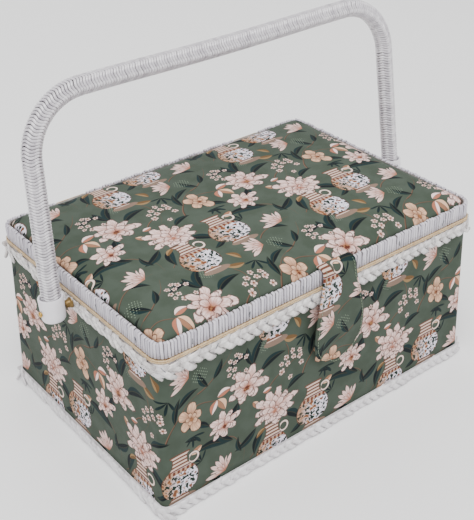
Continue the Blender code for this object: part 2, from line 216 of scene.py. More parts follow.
PETAL, PETAL_ROOT, OUTLINE = ink("f0dbd6"), ink("b5806b"), ink("4f2e27")
PEACH, PEACH_ROOT = ink("dfbfa5"), ink("a6816a")
HEART = ink("6e4236")
LEAF_DARK, LEAF_LIGHT, LEAF_VEIN = ink("152329"), ink("263e40"), ink("46483a")
OLIVE, TWIG = ink("a08866"), ink("6b4936")
GROUND = ink("555f54")
PLACED = ("Ground", "Place", "Centre", "Across", "Up", "Stir", "Grain")


def placed(recipe, wires):
    """A motif's own x and y, from the cloth's place in mm wrapped at the repeat."""
    half = (TILE[0] * MM / 2, TILE[1] * MM / 2, 1)
    away = recipe.vector("SUBTRACT", wires["Place"], wires["Centre"])
    away = recipe.vector("WRAP", away, half, tuple(-h for h in half))
    return [recipe.side(away, wires[way]) for way in ("Across", "Up")]


def reach_of(x, y):
    return (x * x + y * y) ** 0.5


def draw_petals(recipe, wires):
    """A ring or a fan of petals: up is +Y, and Long is their reach."""
    x, y = wires["X"], wires["Y"]
    radius = reach_of(x, y)
    turn = x.math("ARCTAN2", y)
    sector = turn * wires["Count"] * (1 / math.tau) + wires["Phase"]
    number = sector.math("FLOORED_MODULO", wires["Count"]).math("FLOOR")
    chance = recipe.chance(number + wires["Phase"] * 7.3)
    across = abs(sector.math("FRACT") * 2 - 1)
    reach = wires["Long"] * (chance * 0.34 + 0.80)
    inside = reach * (1 - wires["Pinch"] * across ** wires["Point"]) - radius
    shape = recipe.smooth(inside, 0.0, 0.03) * (abs(turn) < wires["Fan"])
    line = recipe.smooth(inside, 0.10, 0.035)
    seam = recipe.smooth(across, 0.80, 0.98)
    vein = recipe.smooth((across * 14).math("SINE"), 0.2, 0.95)
    colour = recipe.mix(recipe.smooth(radius / reach, 0.04, 0.86), wires["Root"], wires["Tip"])
    colour = recipe.mix(vein * 0.42, colour, wires["Root"])
    colour = recipe.mix(recipe.smooth(sector.math("FRACT"), 0.36, 0.02) * 0.58, colour, wires["Root"])
    colour = recipe.mix(line.math("MAXIMUM", seam) * 0.92, colour, wires["Edge"])
    return recipe.mix(shape, wires["Ground"], colour)


def petals(recipe, colour, x, y, wires, count, reach, pinch, point, phase, fan=4.0):
    inputs = {"Ground": colour, "X": x, "Y": y, "Count": count, "Long": reach, "Pinch": pinch, "Point": point,
              "Phase": phase, "Fan": fan}
    inputs |= {name: wires[name] for name in COLOURED}
    return recipe.node("ShaderNodeGroup", {"node_tree": PETALS}, inputs)


def draw_leaf(recipe, wires):
    """A bent leaf from the origin along +X, 1 long."""
    x, y = placed(recipe, wires)
    hump = x * (1 - x) * 4
    y = y - wires["Bend"] * hump
    half = wires["Wide"] * hump * (1.1 - 0.45 * x)
    inside = half - abs(y)
    shape = recipe.smooth(inside, 0.0, 0.03) * (x > 0) * (x < 1)
    colour = recipe.mix(recipe.smooth(y, -0.04, 0.05), wires["Root"], wires["Tip"])
    colour = recipe.mix(recipe.smooth(abs(y), 0.016, 0.006), colour, wires["Edge"])
    return recipe.mix(shape, wires["Ground"], colour)


def draw_twig(recipe, wires):
    """A bent, thinning twig along +X."""
    x, y = placed(recipe, wires)
    y = y - wires["Bend"] * x * (1 - x) * 4 - wires["Bend"] * 0.1 * (x * 11).math("SINE")
    half = wires["Wide"] * (1.15 - 0.75 * x)
    shape = recipe.smooth(half - abs(y), 0.0, 0.012) * (x > 0) * (x < 1)
    colour = recipe.mix(recipe.smooth(y, -0.016, 0.016), wires["Root"], wires["Tip"])
    return recipe.mix(shape, wires["Ground"], colour)


# height (0 to 1 over the whole urn and a little more) and half width of the urn
URN = ((0, 0.0), (0.055, 0.0), (0.062, 0.50), (0.085, 0.52), (0.10, 0.44), (0.16, 0.72), (0.28, 0.96),
       (0.42, 1.0), (0.56, 0.86), (0.67, 0.60), (0.72, 0.48), (0.80, 0.41), (0.905, 0.44), (0.93, 0.54),
       (0.955, 0.55), (0.962, 0.0), (1, 0.0))


def draw_vase(recipe, wires):
    """An urn with a ribbed neck; its body is 1 in radius and its foot stands near -1."""
    x, y = placed(recipe, wires)
    half = recipe.node("ShaderNodeFloatCurve", {"curve": URN}, {"Value": y * 0.35 + 0.4})
    inside = half - abs(x)
    shape = recipe.smooth(inside, 0.0, 0.02) * (half > 0.05) * (abs(y - 0.3) < 1.3)
    shadow = recipe.smooth(reach_of(x - 0.12, (y + 1.08) * 3.6), 0.76, 0.70)
    ground = recipe.mix(shadow * 0.75, wires["Ground"], ink("9d8578"))
    glaze = recipe.mix(recipe.smooth(x, -0.9, 0.25), ink("b99a84"), ink("e6e1ea"))
    blush = recipe.smooth(wires["Stir"], 0.46, 0.42) * recipe.smooth(x, 0.55, 0.10)
    glaze = recipe.mix(blush, glaze, ink("b3906f"))
    leafy = recipe.smooth(wires["Stir"], 0.47, 0.51) * recipe.smooth(wires["Grain"], 0.47, 0.50)
    glaze = recipe.mix(leafy * recipe.smooth(y, 0.62, 0.45), glaze, ink("2c3f35"))
    glaze = recipe.mix(recipe.smooth(wires["Stir"], 0.38, 0.35), glaze, ink("875c45"))
    ribs = recipe.smooth((y * 31 + x * x * 2).math("SINE"), -0.35, 0.35)
    ribbed = recipe.mix(ribs, ink("7b5546"), ink("d9c6ba"))
    ends = recipe.smooth(y, 0.70, 0.74).math("MAXIMUM", recipe.smooth(y, -0.80, -0.84))
    glaze = recipe.mix(ends, glaze, ribbed)
    beads = recipe.mix(recipe.smooth((x * 26).math("SINE"), -0.2, 0.4), ink("7a4c3b"), ink("bfa189"))
    glaze = recipe.mix(recipe.smooth(abs(y - 0.60), 0.12, 0.09), glaze, beads)
    glaze = recipe.mix(recipe.smooth(inside, 0.07, 0.025), glaze, ink("6e5042"))
    ring = abs(reach_of(x - 0.72, y - 1.02) - 0.26)
    handle = recipe.mix(recipe.smooth(ring, 0.03, 0.06), ink("e8d9cf"), OUTLINE)
    ground = recipe.mix(recipe.smooth(ring, 0.085, 0.06) * (x > 0.5), ground, handle)
    return recipe.mix(shape, ground, glaze)


def draw_flower(counts, reaches, pinch, point, ruffle, heart):
    """The drawing of a flower of several rings of petals, the widest first."""
    def draw(recipe, wires):
        x, y = placed(recipe, wires)
        x = x + (wires["Stir"] - 0.5) * ruffle
        y = y + (wires["Grain"] - 0.5) * ruffle
        colour = wires["Ground"]
        for k, (count, reach) in enumerate(zip(counts, reaches)):
            colour = petals(recipe, colour, x, y + 0.07 * k, wires, count, reach, pinch, point,
                            0.37 * k + 0.1)
        dot = recipe.smooth(reach_of(x, y + 0.07 * len(counts)), heart + 0.07, heart)
        flecks = recipe.smooth(wires["Grain"], 0.46, 0.54)
        return recipe.mix(dot, colour, recipe.mix(flecks, HEART, ink("9f7656")))
    return draw


def draw_fan(counts, reaches, fans, pinch, point=1.8):
    """Petals or leaves that fan out upwards from the origin."""
    def draw(recipe, wires):
        x, y = placed(recipe, wires)
        colour = wires["Ground"]
        for k, (count, reach, fan) in enumerate(zip(counts, reaches, fans)):
            colour = petals(recipe, colour, x, y, wires, count, reach, pinch, point, 0.5 * k, fan)
        return colour
    return draw


def draw_blossoms(recipe, wires):
    """A loose cluster of small five-petalled blossoms inside a disc."""
    x, y = placed(recipe, wires)
    column = (x * 2.2).math("FLOOR")
    row = (y * 2.2 + column * 0.5).math("FLOOR")
    chance = recipe.chance(column * 7.3 + row * 3.1)
    near_x = x * 2.2 - column - 0.5 + (chance - 0.6) * 0.3
    near_y = y * 2.2 + column * 0.5 - row - 0.5 + ((chance * 9).math("FRACT") - 0.5) * 0.26
    keep = recipe.smooth(reach_of(column + 0.5, row + 0.5 - column * 0.5), 2.3, 2.2) * (chance > 0.42)
    grown = 2.9 - chance
    flower = petals(recipe, wires["Ground"], near_x * grown, near_y * grown, wires, 5.0, 1.0, 0.5, 2.6,
                    chance * 0.9)
    flower = recipe.mix(recipe.smooth(reach_of(near_x, near_y), 0.11, 0.07), flower, HEART)
    return recipe.mix(keep, wires["Ground"], flower)


def draw_dots(recipe, wires):
    """A spray of tiny pale dots inside a disc."""
    x, y = placed(recipe, wires)
    dots = recipe.smooth((x * 15 + y * 4).math("SINE") * (y * 13 - x * 5).math("SINE"), 0.55, 0.75)
    dots = dots * recipe.smooth(reach_of(x, y) + wires["Grain"] - 0.5, 1.0, 0.9)
    return recipe.mix(dots * 0.5, wires["Ground"], ink("a9b8a4"))


COLOURED = ("Tip", "Root", "Edge")
PETALS = group("petals", ("Ground", "X", "Y", "Count", "Long", "Pinch", "Point", "Phase", "Fan") + COLOURED,
               draw_petals)
DRAWINGS = {
    "leaf": (("Bend", "Wide") + COLOURED, draw_leaf),
    "twig": (("Bend", "Wide", "Tip", "Root"), draw_twig),
    "vase": ((), draw_vase),
    "magnolia": (COLOURED, draw_flower((8, 7, 4), (1.0, 0.80, 0.52), 0.50, 1.8, 0.20, 0.10)),
    "peony": (COLOURED, draw_flower((11, 9, 7, 5), (1.0, 0.82, 0.60, 0.36), 0.40, 1.9, 0.20, 0.0)),
    "open flower": (COLOURED, draw_flower((5, 5), (1.0, 0.5), 0.46, 2.2, 0.14, 0.10)),
    "tulip": (COLOURED, draw_fan((10, 9, 12), (1.0, 0.86, 0.5), (1.15, 0.70, 0.95), 0.88, 1.5)),
    "frond": (COLOURED, draw_fan((9,), (1.0,), (1.3,), 1.6)),
    "blossoms": (COLOURED, draw_blossoms),
    "dots": ((), draw_dots),
}
MOTIFS = {name: group(name, PLACED + own, draw) for name, (own, draw) in DRAWINGS.items()}


def inks(tip, root, edge):
    return {"Tip": tip, "Root": root, "Edge": edge}


GREEN = inks(LEAF_LIGHT, LEAF_DARK, LEAF_VEIN)
WHITE = inks(PETAL, PETAL_ROOT, OUTLINE)
PEACHY = inks(PEACH, PEACH_ROOT, OUTLINE)
BUDS = inks(PETAL, PEACH_ROOT, OUTLINE)
DRY = inks(OLIVE, ink("7d6547"), TWIG)
BARK = {"Tip": ink("8c7060"), "Root": ink("4a362c")}

# motif, x and y in mm, turn in degrees, size in mm (one number, or across and up), inks, bend and width
PRINT = (
    ("twig", 30, 88, -22, 34, BARK, 0.1, 0.018), ("twig", 4, 66, 48, 46, BARK, 0.1, 0.02),
    ("twig", 32, 98, 40, 44, BARK, -0.1, 0.018), ("twig", 100, 70, 24, 38, BARK, 0.1, 0.019),
    ("twig", 116, 104, -96, 36, BARK, 0.14, 0.015), ("twig", 82, 10, 70, 32, BARK, -0.12, 0.016),
    ("twig", 60, 44, -64, 36, BARK, 0.16, 0.016), ("twig", 28, 2, 18, 40, BARK, 0.1, 0.018),
    ("leaf", 12, 80, 78, 24, GREEN, 0.1, 0.14), ("leaf", 14, 92, 30, 23, GREEN, 0.14, 0.15),
    ("leaf", 42, 100, 118, 21, GREEN, 0.1, 0.16), ("leaf", 46, 104, 62, 18, GREEN, -0.08, 0.18),
    ("leaf", 60, 106, 12, 24, GREEN, 0.12, 0.14), ("leaf", 84, 98, 62, 28, GREEN, 0.14, 0.16),
    ("leaf", 90, 88, 18, 29, GREEN, 0.16, 0.16), ("leaf", 70, 72, -128, 24, GREEN, 0.14, 0.24),
    ("leaf", 44, 62, 160, 24, GREEN, -0.14, 0.15), ("leaf", 60, 38, 170, 34, GREEN, -0.14, 0.14),
    ("leaf", 66, 38, 136, 25, GREEN, 0.1, 0.16), ("leaf", 88, 38, -150, 26, GREEN, 0.12, 0.17),
    ("leaf", 96, 34, -112, 26, GREEN, -0.12, 0.18), ("leaf", 114, 38, -40, 26, GREEN, 0.12, 0.18),
    ("leaf", 118, 58, 20, 22, GREEN, 0.16, 0.16), ("leaf", 122, 12, 38, 21, GREEN, -0.12, 0.15),
    ("leaf", 78, 118, -70, 22, GREEN, -0.1, 0.16), ("leaf", 40, 12, -30, 20, GREEN, 0.14, 0.15),
    ("leaf", 20, 60, -20, 17, GREEN, 0.14, 0.16), ("leaf", 74, 22, 100, 18, GREEN, 0.16, 0.15),
    ("frond", 28, 62, 200, 11, GREEN), ("frond", 6, 104, 150, 12, GREEN), ("frond", 36, 34, 40, 12, GREEN),
    ("leaf", 128, 106, 160, 17, DRY, 0.12, 0.22), ("leaf", 0, 112, 120, 14, DRY, -0.14, 0.22),
    ("leaf", 88, 26, 30, 13, DRY, 0.12, 0.2), ("leaf", 36, 50, 200, 12, PEACHY, 0.1, 0.28),
    ("leaf", 50, 84, -60, 15, PEACHY, 0.1, 0.3), ("leaf", 50, 84, -112, 13, WHITE, -0.1, 0.3),
    ("leaf", 50, 86, 10, 14, WHITE, 0.1, 0.28), ("leaf", 94, 68, 8, 9, WHITE, 0.0, 0.3),
    ("leaf", 84, 64, -60, 10, PEACHY, 0.1, 0.3), ("dots", 34, 114, 0, 7), ("dots", 96, 112, 0, 6),
    ("vase", 16, 26, 0, (17, 16.5)), ("vase", 104, 7, 0, (16, 17)), ("blossoms", 122, 84, 10, 14, BUDS),
    ("blossoms", 68, 106, 60, 12, BUDS), ("tulip", 24, 116, 64, 18, WHITE),
    ("tulip", 58, 12, 34, 19, WHITE), ("open flower", 26, 80, 20, (12, 14), PEACHY),
    ("magnolia", 56, 58, 30, (16, 13), WHITE), ("magnolia", 78, 84, 0, (21, 17), WHITE),
    ("peony", 106, 48, 0, (22, 19), WHITE),
)


def printed(recipe, uv):
    """The print's colour over a UV map laid out in metres."""
    stir = recipe.noise(recipe.shift(uv, 210), 1.0, 1.0)
    grain = recipe.noise(recipe.shift(uv, 340), 1.0, 2.0)
    fade = recipe.noise(recipe.shift(uv, 60), 1.0, 2.0)
    spot = recipe.vector("MULTIPLY", uv, (MM, MM, 0))
    colour = recipe.mix(recipe.smooth(fade, 0.35, 0.65), GROUND, ink("5c665c"))
    for motif, x, y, turn, size, *own in PRINT:
        wide, tall = size if isinstance(size, tuple) else (size, size)
        along, away = math.cos(math.radians(turn)), math.sin(math.radians(turn))
        inputs = {"Ground": colour, "Place": spot, "Centre": (x, y, 0), "Stir": stir, "Grain": grain,
                  "Across": (along / wide, away / wide, 0), "Up": (-away / tall, along / tall, 0)}
        if own:
            inputs |= own[0] | dict(zip(("Bend", "Wide"), own[1:]))
        colour = recipe.node("ShaderNodeGroup", {"node_tree": MOTIFS[motif]}, inputs)
    return colour


# ---------------------------------------------------------------- meshes

def linked(name, data):
    made = bpy.data.objects.new(name, data)
    bpy.context.collection.objects.link(made)
    return made


def piece(name, verts, faces, material, uvs=None, sharp=None):
    """A mesh from points and faces; uvs gives one place for each point of each face."""
    mesh = bpy.data.meshes.new(name)
    mesh.from_pydata([tuple(v) for v in verts], [], faces)
    if uvs:
        layer = mesh.uv_layers.new(name="UVMap")
        for loop, uv in zip(layer.data, [uv for face in uvs for uv in face]):
            loop.uv = uv
    mesh.shade_smooth()
    if sharp:
        mesh.set_sharp_from_angle(angle=math.radians(sharp))
    mesh.materials.append(material)
    return linked(name, mesh)


def skin(name, loops, material, ring=False, uv=None, sharp=None):
    """Join closed loops of points into a closed skin, capped at both ends or joined as a ring.

    uv gives the place on the cloth from the row and the corner (one past the last at the seam).
    """
    count = len(loops[0])
    verts = [point for loop in loops for point in loop]
    faces, uvs = [], []
    for row in range(len(loops) if ring else len(loops) - 1):
        above = (row + 1) % len(loops)
        for i in range(count):
            j = (i + 1) % count
            faces.append((row * count + i, row * count + j, above * count + j, above * count + i))
            if uv:
                uvs.append([uv(row, i), uv(row, i + 1), uv(above, i + 1), uv(above, i)])
    if not ring:
        faces.append(tuple(range(count))[::-1])
        faces.append(tuple(range((len(loops) - 1) * count, len(loops) * count)))
        if uv:
            uvs.append([uv(0, i) for i in range(count)][::-1])
            uvs.append([uv(len(loops) - 1, i) for i in range(count)])
    return piece(name, verts, faces, material, uvs if uv else None, sharp)


def outline(half_x, half_y, corner, step=0.006, arc=6):
    """A rounded rectangle, anticlockwise from the middle of the back.

    Its number of points depends only on the step, so that outlines of any size can be joined.
    """
    def run(start, end, size):
        count = round(size / step)
        return [Vector(start).lerp(Vector(end), k / count) for k in range(count)]

    def bend(middle, first):
        return [Vector(middle) + corner * Vector((math.cos(a), math.sin(a)))
                for a in [math.radians(first + 90 * k / arc) for k in range(arc)]]

    x, y = half_x - corner, half_y - corner
    points = run((0, half_y), (-x, half_y), 0.15) + bend((-x, y), 90) + run((-half_x, y), (-half_x, -y), 0.2)
    points += bend((-x, -y), 180) + run((-x, -half_y), (x, -half_y), 0.3) + bend((x, -y), 270)
    points += run((half_x, -y), (half_x, y), 0.2) + bend((x, y), 0)
    return points + run((x, half_y), (0, half_y), 0.15)


def at(points, z):
    return [Vector((p.x, p.y, z)) for p in points]


def body_outline(inset, z, step=0.006):
    share = 1 - z / BODY_TOP
    corner = CORNER_TOP + (CORNER_BASE - CORNER_TOP) * share
    return at(outline(TOP_X + (BASE_X - TOP_X) * share - inset, TOP_Y + (BASE_Y - TOP_Y) * share - inset,
                      max(corner - inset, 0.0015), step), z)


def lid_outline(inset, z, step=0.006):
    return at(outline(LID_X - inset, LID_Y - inset, max(LID_CORNER - inset, 0.002), step), z)


def lengths(loop):
    """How far round the loop each point is, and the whole loop at the end."""
    far = [0.0]
    for k, point in enumerate(loop):
        far.append(far[-1] + (loop[(k + 1) % len(loop)] - point).length)
    return far


def lathe(name, profile, material, axis="Z", middle=(0, 0, 0), sides=32, ring=False, sharp=35):
    """Turn a profile of (place along the axis, radius) round the axis."""
    loops = []
    for along, radius in profile:
        loop = []
        for k in range(sides):
            across, up = (radius * f(math.tau * k / sides) for f in (math.cos, math.sin))
            spot = {"X": (along, across, up), "Y": (up, along, across), "Z": (across, up, along)}[axis]
            loop.append(Vector(middle) + Vector(spot))
        loops.append(loop)
    return face_outwards(skin(name, loops, material, ring=ring, sharp=sharp))


def face_outwards(made):
    shape = bmesh.new()
    shape.from_mesh(made.data)
    bmesh.ops.recalc_face_normals(shape, faces=shape.faces)
    shape.to_mesh(made.data)
    shape.free()
    return made


def join(name, parts):
    """Several pieces as one mesh, each keeping its own material."""
    merged = bmesh.new()
    mesh = bpy.data.meshes.new(name)
    for part in parts:
        start = len(mesh.materials)
        for material in part.data.materials:
            mesh.materials.append(material)
        before = len(merged.faces)
        merged.from_mesh(part.data)
        merged.faces.ensure_lookup_table()
        for face in merged.faces[before:]:
            face.material_index += start
        bpy.data.objects.remove(part)
    merged.to_mesh(mesh)
    merged.free()
    return linked(name, mesh)


def finished_copy(frame, node, name, material, edge, segments=2):
    """A node's shape again with its edges eased."""
    source = frame["nodes"][node]
    shape = bmesh.new()
    shape.from_mesh(source.data)
    shape.transform(source.matrix_world)
    bmesh.ops.remove_doubles(shape, verts=shape.verts, dist=1e-6)
    bmesh.ops.dissolve_limit(shape, angle_limit=math.radians(1), verts=shape.verts, edges=shape.edges)
    mesh = bpy.data.meshes.new(name)
    shape.to_mesh(mesh)
    shape.free()
    made = linked(name, mesh)
    mesh.materials.append(material)
    ease = made.modifiers.new("eased edges", "BEVEL")
    ease.width = edge
    ease.segments = segments
    ease.limit_method = "ANGLE"
    ease.angle_limit = math.radians(30)
    bake(made)
    made.data.shade_smooth()
    made.data.set_sharp_from_angle(angle=math.radians(50))
    return made


def bake(made):
    """Put the result of a piece's modifiers into its mesh."""
    bpy.context.view_layer.update()
    depsgraph = bpy.context.evaluated_depsgraph_get()
    mesh = bpy.data.meshes.new_from_object(made.evaluated_get(depsgraph), depsgraph=depsgraph)
    made.modifiers.clear()
    made.data = mesh


def puffed(made, pressure, cap, hold, voxel=0.005):
    """Swell a closed shape as stuffed cloth; hold scales each point's movement from 0 to 1."""
    made.modifiers.new("even faces", "REMESH").voxel_size = voxel
    bake(made)
    before = [v.co.copy() for v in made.data.vertices]
    cloth = made.modifiers.new("cloth", "CLOTH")
    cloth.settings.use_pressure = True
    cloth.settings.uniform_pressure_force = pressure
    cloth.settings.effector_weights.gravity = 0
    cloth.settings.quality = 5
    for moment in range(1, 21):
        bpy.context.scene.frame_set(moment)
    bake(made)
    bpy.context.scene.frame_set(1)
    for v, start in zip(made.data.vertices, before):
        move = v.co - start
        if move.length > cap:
            move = move.normalized() * cap
        v.co = start + move * hold(start)
    smooth = made.modifiers.new("smooth", "SUBSURF")
    smooth.levels = smooth.render_levels = 1
    bake(made)
    made.data.shade_smooth()


def lay_uv(made, right, up):
    """Lay the cloth flat from above: each corner's place on it is its X and Y, shifted, in metres."""
    layer = made.data.uv_layers.new(name="UVMap")
    for loop in made.data.loops:
        spot = made.data.vertices[loop.vertex_index].co
        layer.data[loop.index].uv = (spot.x + right, spot.y + up)


# ---------------------------------------------------------------- repeated trims

def along_path(name, points, unit, count, up, material, seed, closed=True, jitter=(0, 0, 0), swell=0.0,
               gap=0.0):
    """Copies of a unit along a path: X runs along the path and Z is as near the given direction as it can be.

    jitter is the most each copy may turn about its own X, Y and Z; swell is how much its height varies.
    gap is half the width left free at each hinge.
    """
    links = [(k, k + 1) for k in range(len(points) - 1)] + ([(len(points) - 1, 0)] if closed else [])
    mesh = bpy.data.meshes.new(name)
    mesh.from_pydata([tuple(p) for p in points], links, [])
    made = linked(name, mesh)
    tree = bpy.data.node_groups.new(f"{name} along its path", "GeometryNodeTree")
    face = tree.interface
    face.new_socket("Path", in_out="INPUT", socket_type="NodeSocketGeometry")
    values = {}
    for label, kind, value in (("Unit", "Object", unit), ("Count", "Int", count), ("Up", "Vector", up),
                               ("Jitter", "Vector", jitter), ("Swell", "Float", swell),
                               ("Hinge", "Float", HINGE_X), ("Gap", "Float", gap),
                               ("Material", "Material", material)):
        values[face.new_socket(label, in_out="INPUT", socket_type=f"NodeSocket{kind}").identifier] = value
    face.new_socket("Result", in_out="OUTPUT", socket_type="NodeSocketGeometry")
    recipe = Recipe(tree)
    given = tree.nodes.new("NodeGroupInput").outputs
    take = {socket.name: Wire(recipe, socket) for socket in given if socket.name}

    curve = recipe.node("GeometryNodeMeshToCurve", None, [take["Path"]])
    curve = recipe.node("GeometryNodeResampleCurve", None, {"Curve": curve, "Count": take["Count"]})
    aimed = recipe.node("FunctionNodeAlignRotationToVector", {"axis": "X"},
                        {"Vector": recipe.node("GeometryNodeInputTangent")})
    aimed = recipe.node("FunctionNodeAlignRotationToVector", {"axis": "Z", "pivot_axis": "X"},
                        {"Rotation": aimed, "Vector": take["Up"]})
    wobble = recipe.node("FunctionNodeRandomValue", {"data_type": "FLOAT_VECTOR"},
                         {"Min": (-1, -1, -1), "Max": (1, 1, 1), "Seed": seed})
    wobble = recipe.vector("MULTIPLY", wobble, take["Jitter"])
    wobble = recipe.node("FunctionNodeEulerToRotation", None, [wobble])
    aimed = recipe.node("FunctionNodeRotateRotation", {"rotation_space": "LOCAL"},
                        {"Rotation": aimed, "Rotate By": wobble})
    chance = recipe.node("FunctionNodeRandomValue", {"data_type": "FLOAT"},
                         {2: 0.0, 3: 1.0, "Seed": seed + 1}, 1)
    height = (chance * 2 - 1) * take["Swell"] + 1
    size = recipe.node("ShaderNodeCombineXYZ", None, [1.0, 1.0, height])
    shape = recipe.node("GeometryNodeObjectInfo", None, [take["Unit"]], "Geometry")
    spot = recipe.node("GeometryNodeInputPosition")
    x, y = (recipe.side(spot, way) for way in ((1, 0, 0), (0, 1, 0)))
    kept = (abs(abs(x) - take["Hinge"]) > take["Gap"]).math("MAXIMUM", y < 0.1)
    copies = recipe.node("GeometryNodeInstanceOnPoints", None,
                         {"Points": curve, "Selection": kept, "Instance": shape, "Rotation": aimed,
                          "Scale": size})
    copies = recipe.node("GeometryNodeStoreNamedAttribute", {"data_type": "FLOAT", "domain": "INSTANCE"},
                         {"Geometry": copies, "Name": "shade", "Value": chance})
    whole = recipe.node("GeometryNodeRealizeInstances", None, [copies])
    whole = recipe.node("GeometryNodeSetMaterial", None, {"Geometry": whole, "Material": take["Material"]})
    tree.links.new(whole.socket, tree.nodes.new("NodeGroupOutput").inputs[0])

    step = made.modifiers.new("along its path", "NODES")
    step.node_group = tree
    for identifier, value in values.items():
        step[identifier] = value
    bake(made)
    bpy.data.objects.remove(unit)
    made.data.shade_smooth()
    return made


def from_mark(points, mark):
    """The same closed loop, starting at the point nearest a mark."""
    first = min(range(len(points)), key=lambda k: (points[k] - Vector(mark)).length)
    return points[first:] + points[:first]


def strip_unit(material):
    """One flat strip from under the rim, up its outside and folded over its top.

    U runs round the strip: its outer face is from 1/6 to 2/6.
    """
    tall = RIM_TOP - RIM_BOTTOM
    line = ((0.0, 0.0), (0.0, 0.0060), (0.0, tall - 0.0012), (0.0007, tall - 0.0001), (0.0026, tall),
            (0.0034, tall - 0.0012))
    across = ((-0.00124, 0.00060), (-0.0008, 0.00008), (0.0007, 0.0), (0.00120, 0.00050), (0.0011, 0.0009),
              (-0.0011, 0.0009))
    loops = []
    for k, (y, z) in enumerate(line):
        a, b = line[max(k - 1, 0)], line[min(k + 1, len(line) - 1)]
        along = Vector((0, b[0] - a[0], b[1] - a[1])).normalized()
        inward = Vector((0, along.z, -along.y))
        loops.append([Vector((x, y, z)) + inward * deep for x, deep in across])
    return face_outwards(skin("strip", loops, material,
                              uv=lambda row, i: (i / len(across), row / len(line))))


def lobe(length, width, thick, slant, middle, lean=0.0, rings=6, sides=7):
    """Points of one plump strand of a plait, lying in the XZ plane with its face to -Y."""
    loops = []
    for k in range(rings):
        share = k / (rings - 1)
        along = (share - 0.5) * length
        size = math.sin(math.pi * (0.09 + 0.82 * share)) ** 0.6
        bow = 0.16 * width * math.sin(math.tau * share)
        loop = []
        for i in range(sides):
            angle = math.tau * i / sides
            across = width / 2 * size * math.cos(angle) + bow
            out = thick / 2 * (0.35 + 0.65 * size) * math.sin(angle) + lean * (share - 0.5)
            x = along * math.cos(slant) - across * math.sin(slant)
            z = along * math.sin(slant) + across * math.cos(slant)
            loop.append(Vector((x + middle[0], -out + middle[1], z + middle[2])))
        loops.append(loop)
    return loops


def lobes_unit(name, groups, material):
    """Several strands as one unit, with U along each strand and V round it."""
    verts, faces, uvs = [], [], []
    for loops in groups:
        start, rows, count = len(verts), len(loops), len(loops[0])
        verts += [point for loop in loops for point in loop]
        for row in range(rows - 1):
            for i in range(count):
                j = (i + 1) % count
                faces.append((start + row * count + i, start + row * count + j,
                              start + (row + 1) * count + j, start + (row + 1) * count + i))
                u0, u1, v0, v1 = row / (rows - 1), (row + 1) / (rows - 1), i / count, (i + 1) / count
                uvs.append([(u0, v0), (u0, v1), (u1, v1), (u1, v0)])
        for row, order in ((0, -1), (rows - 1, 1)):
            faces.append(tuple(start + row * count + i for i in range(count))[::order])
            uvs.append([(row / (rows - 1), i / count) for i in range(count)][::order])
    return face_outwards(piece(name, verts, faces, material, uvs))


def staple_unit(name, long, wide, material):
    loops = []
    for z, size in ((-long / 2, 0.5), (-long / 2 + 0.0004, 1.0), (long / 2 - 0.0004, 1.0), (long / 2, 0.5)):
        half, deep = wide / 2 * size, 0.00032 * size
        across = ((-half, 0.0004), (-half * 0.6, -deep), (half * 0.6, -deep), (half, 0.0004))
        loops.append([Vector((x, y, z)) for x, y in across])
    return face_outwards(skin(name, loops, material))


def wrap_unit(material):
    """One turn of the handle's wrapping: a flat strand that waves as it goes round."""
    around, profile = 24, ((-0.00128, -0.00040), (-0.00064, 0.00054), (0.00064, 0.00054), (0.00128, -0.00040))
    verts, faces, uvs = [], [], []
    for k in range(around):
        angle = math.tau * k / around
        shift = 0.00085 * math.sin(4 * angle + 0.6)
        for x, out in profile:
            radius = WRAP_RADIUS - 0.0006 + out + 0.00028 * math.sin(WRAP_CRESTS * angle + WRAP_PHASE)
            verts.append((x + shift, radius * math.cos(angle), radius * math.sin(angle)))
    count = len(profile)
    for k in range(around):
        for i in range(count):
            j, n = (i + 1) % count, (k + 1) % around
            faces.append((k * count + i, n * count + i, n * count + j, k * count + j))
            uvs.append([(k / around, i / count), ((k + 1) / around, i / count),
                        ((k + 1) / around, (i + 1) / count), (k / around, (i + 1) / count)])
    return face_outwards(piece("turn", verts, faces, material, uvs))


# ---------------------------------------------------------------- finishes

def finish_of(name, cook):
    """A material from a function that returns values or wires for the shader's sockets."""
    made = bpy.data.materials.new(name)
    made.use_nodes = True
    tree = made.node_tree
    tree.nodes.clear()
    recipe = Recipe(tree)
    sockets = cook(recipe)
    shader = recipe.node("ShaderNodeBsdfPrincipled", None, sockets)
    tree.links.new(shader.socket, tree.nodes.new("ShaderNodeOutputMaterial").inputs["Surface"])
    return made


def raised(recipe, height, distance, strength=1.0, over=None):
    inputs = {"Height": height, "Distance": distance, "Strength": strength}
    if over:
        inputs["Normal"] = over
    return recipe.node("ShaderNodeBump", None, inputs)


def here(recipe):
    return recipe.node("ShaderNodeTexCoord", None, None, "Object")


def own_shade(recipe):
    """The random number stored for each copy along a path."""
    return recipe.node("ShaderNodeAttribute", {"attribute_name": "shade"}, None, "Fac")


def own_map(recipe):
    return recipe.node("ShaderNodeUVMap", {"uv_map": "UVMap"})


def printed_cloth(recipe):
    uv = own_map(recipe)
    colour = printed(recipe, uv)
    threads = recipe.shift(uv, 1500)
    warp, weft = (recipe.node("ShaderNodeTexWave", {"bands_direction": way},
                              {"Vector": threads, "Scale": 0.32}, 1) for way in ("X", "Y"))
    weave = warp * weft
    soft = recipe.noise(recipe.shift(uv, 28), 1.0, 3.0)
    normal = raised(recipe, soft, 0.0012, 0.5)
    normal = raised(recipe, weave, 0.00008, 0.5, normal)
    return {"Base Color": colour, "Roughness": weave * 0.06 + 0.70, "Specular IOR Level": 0.12,
            "Sheen Weight": 0.02, "Sheen Roughness": 0.5, "Normal": normal}


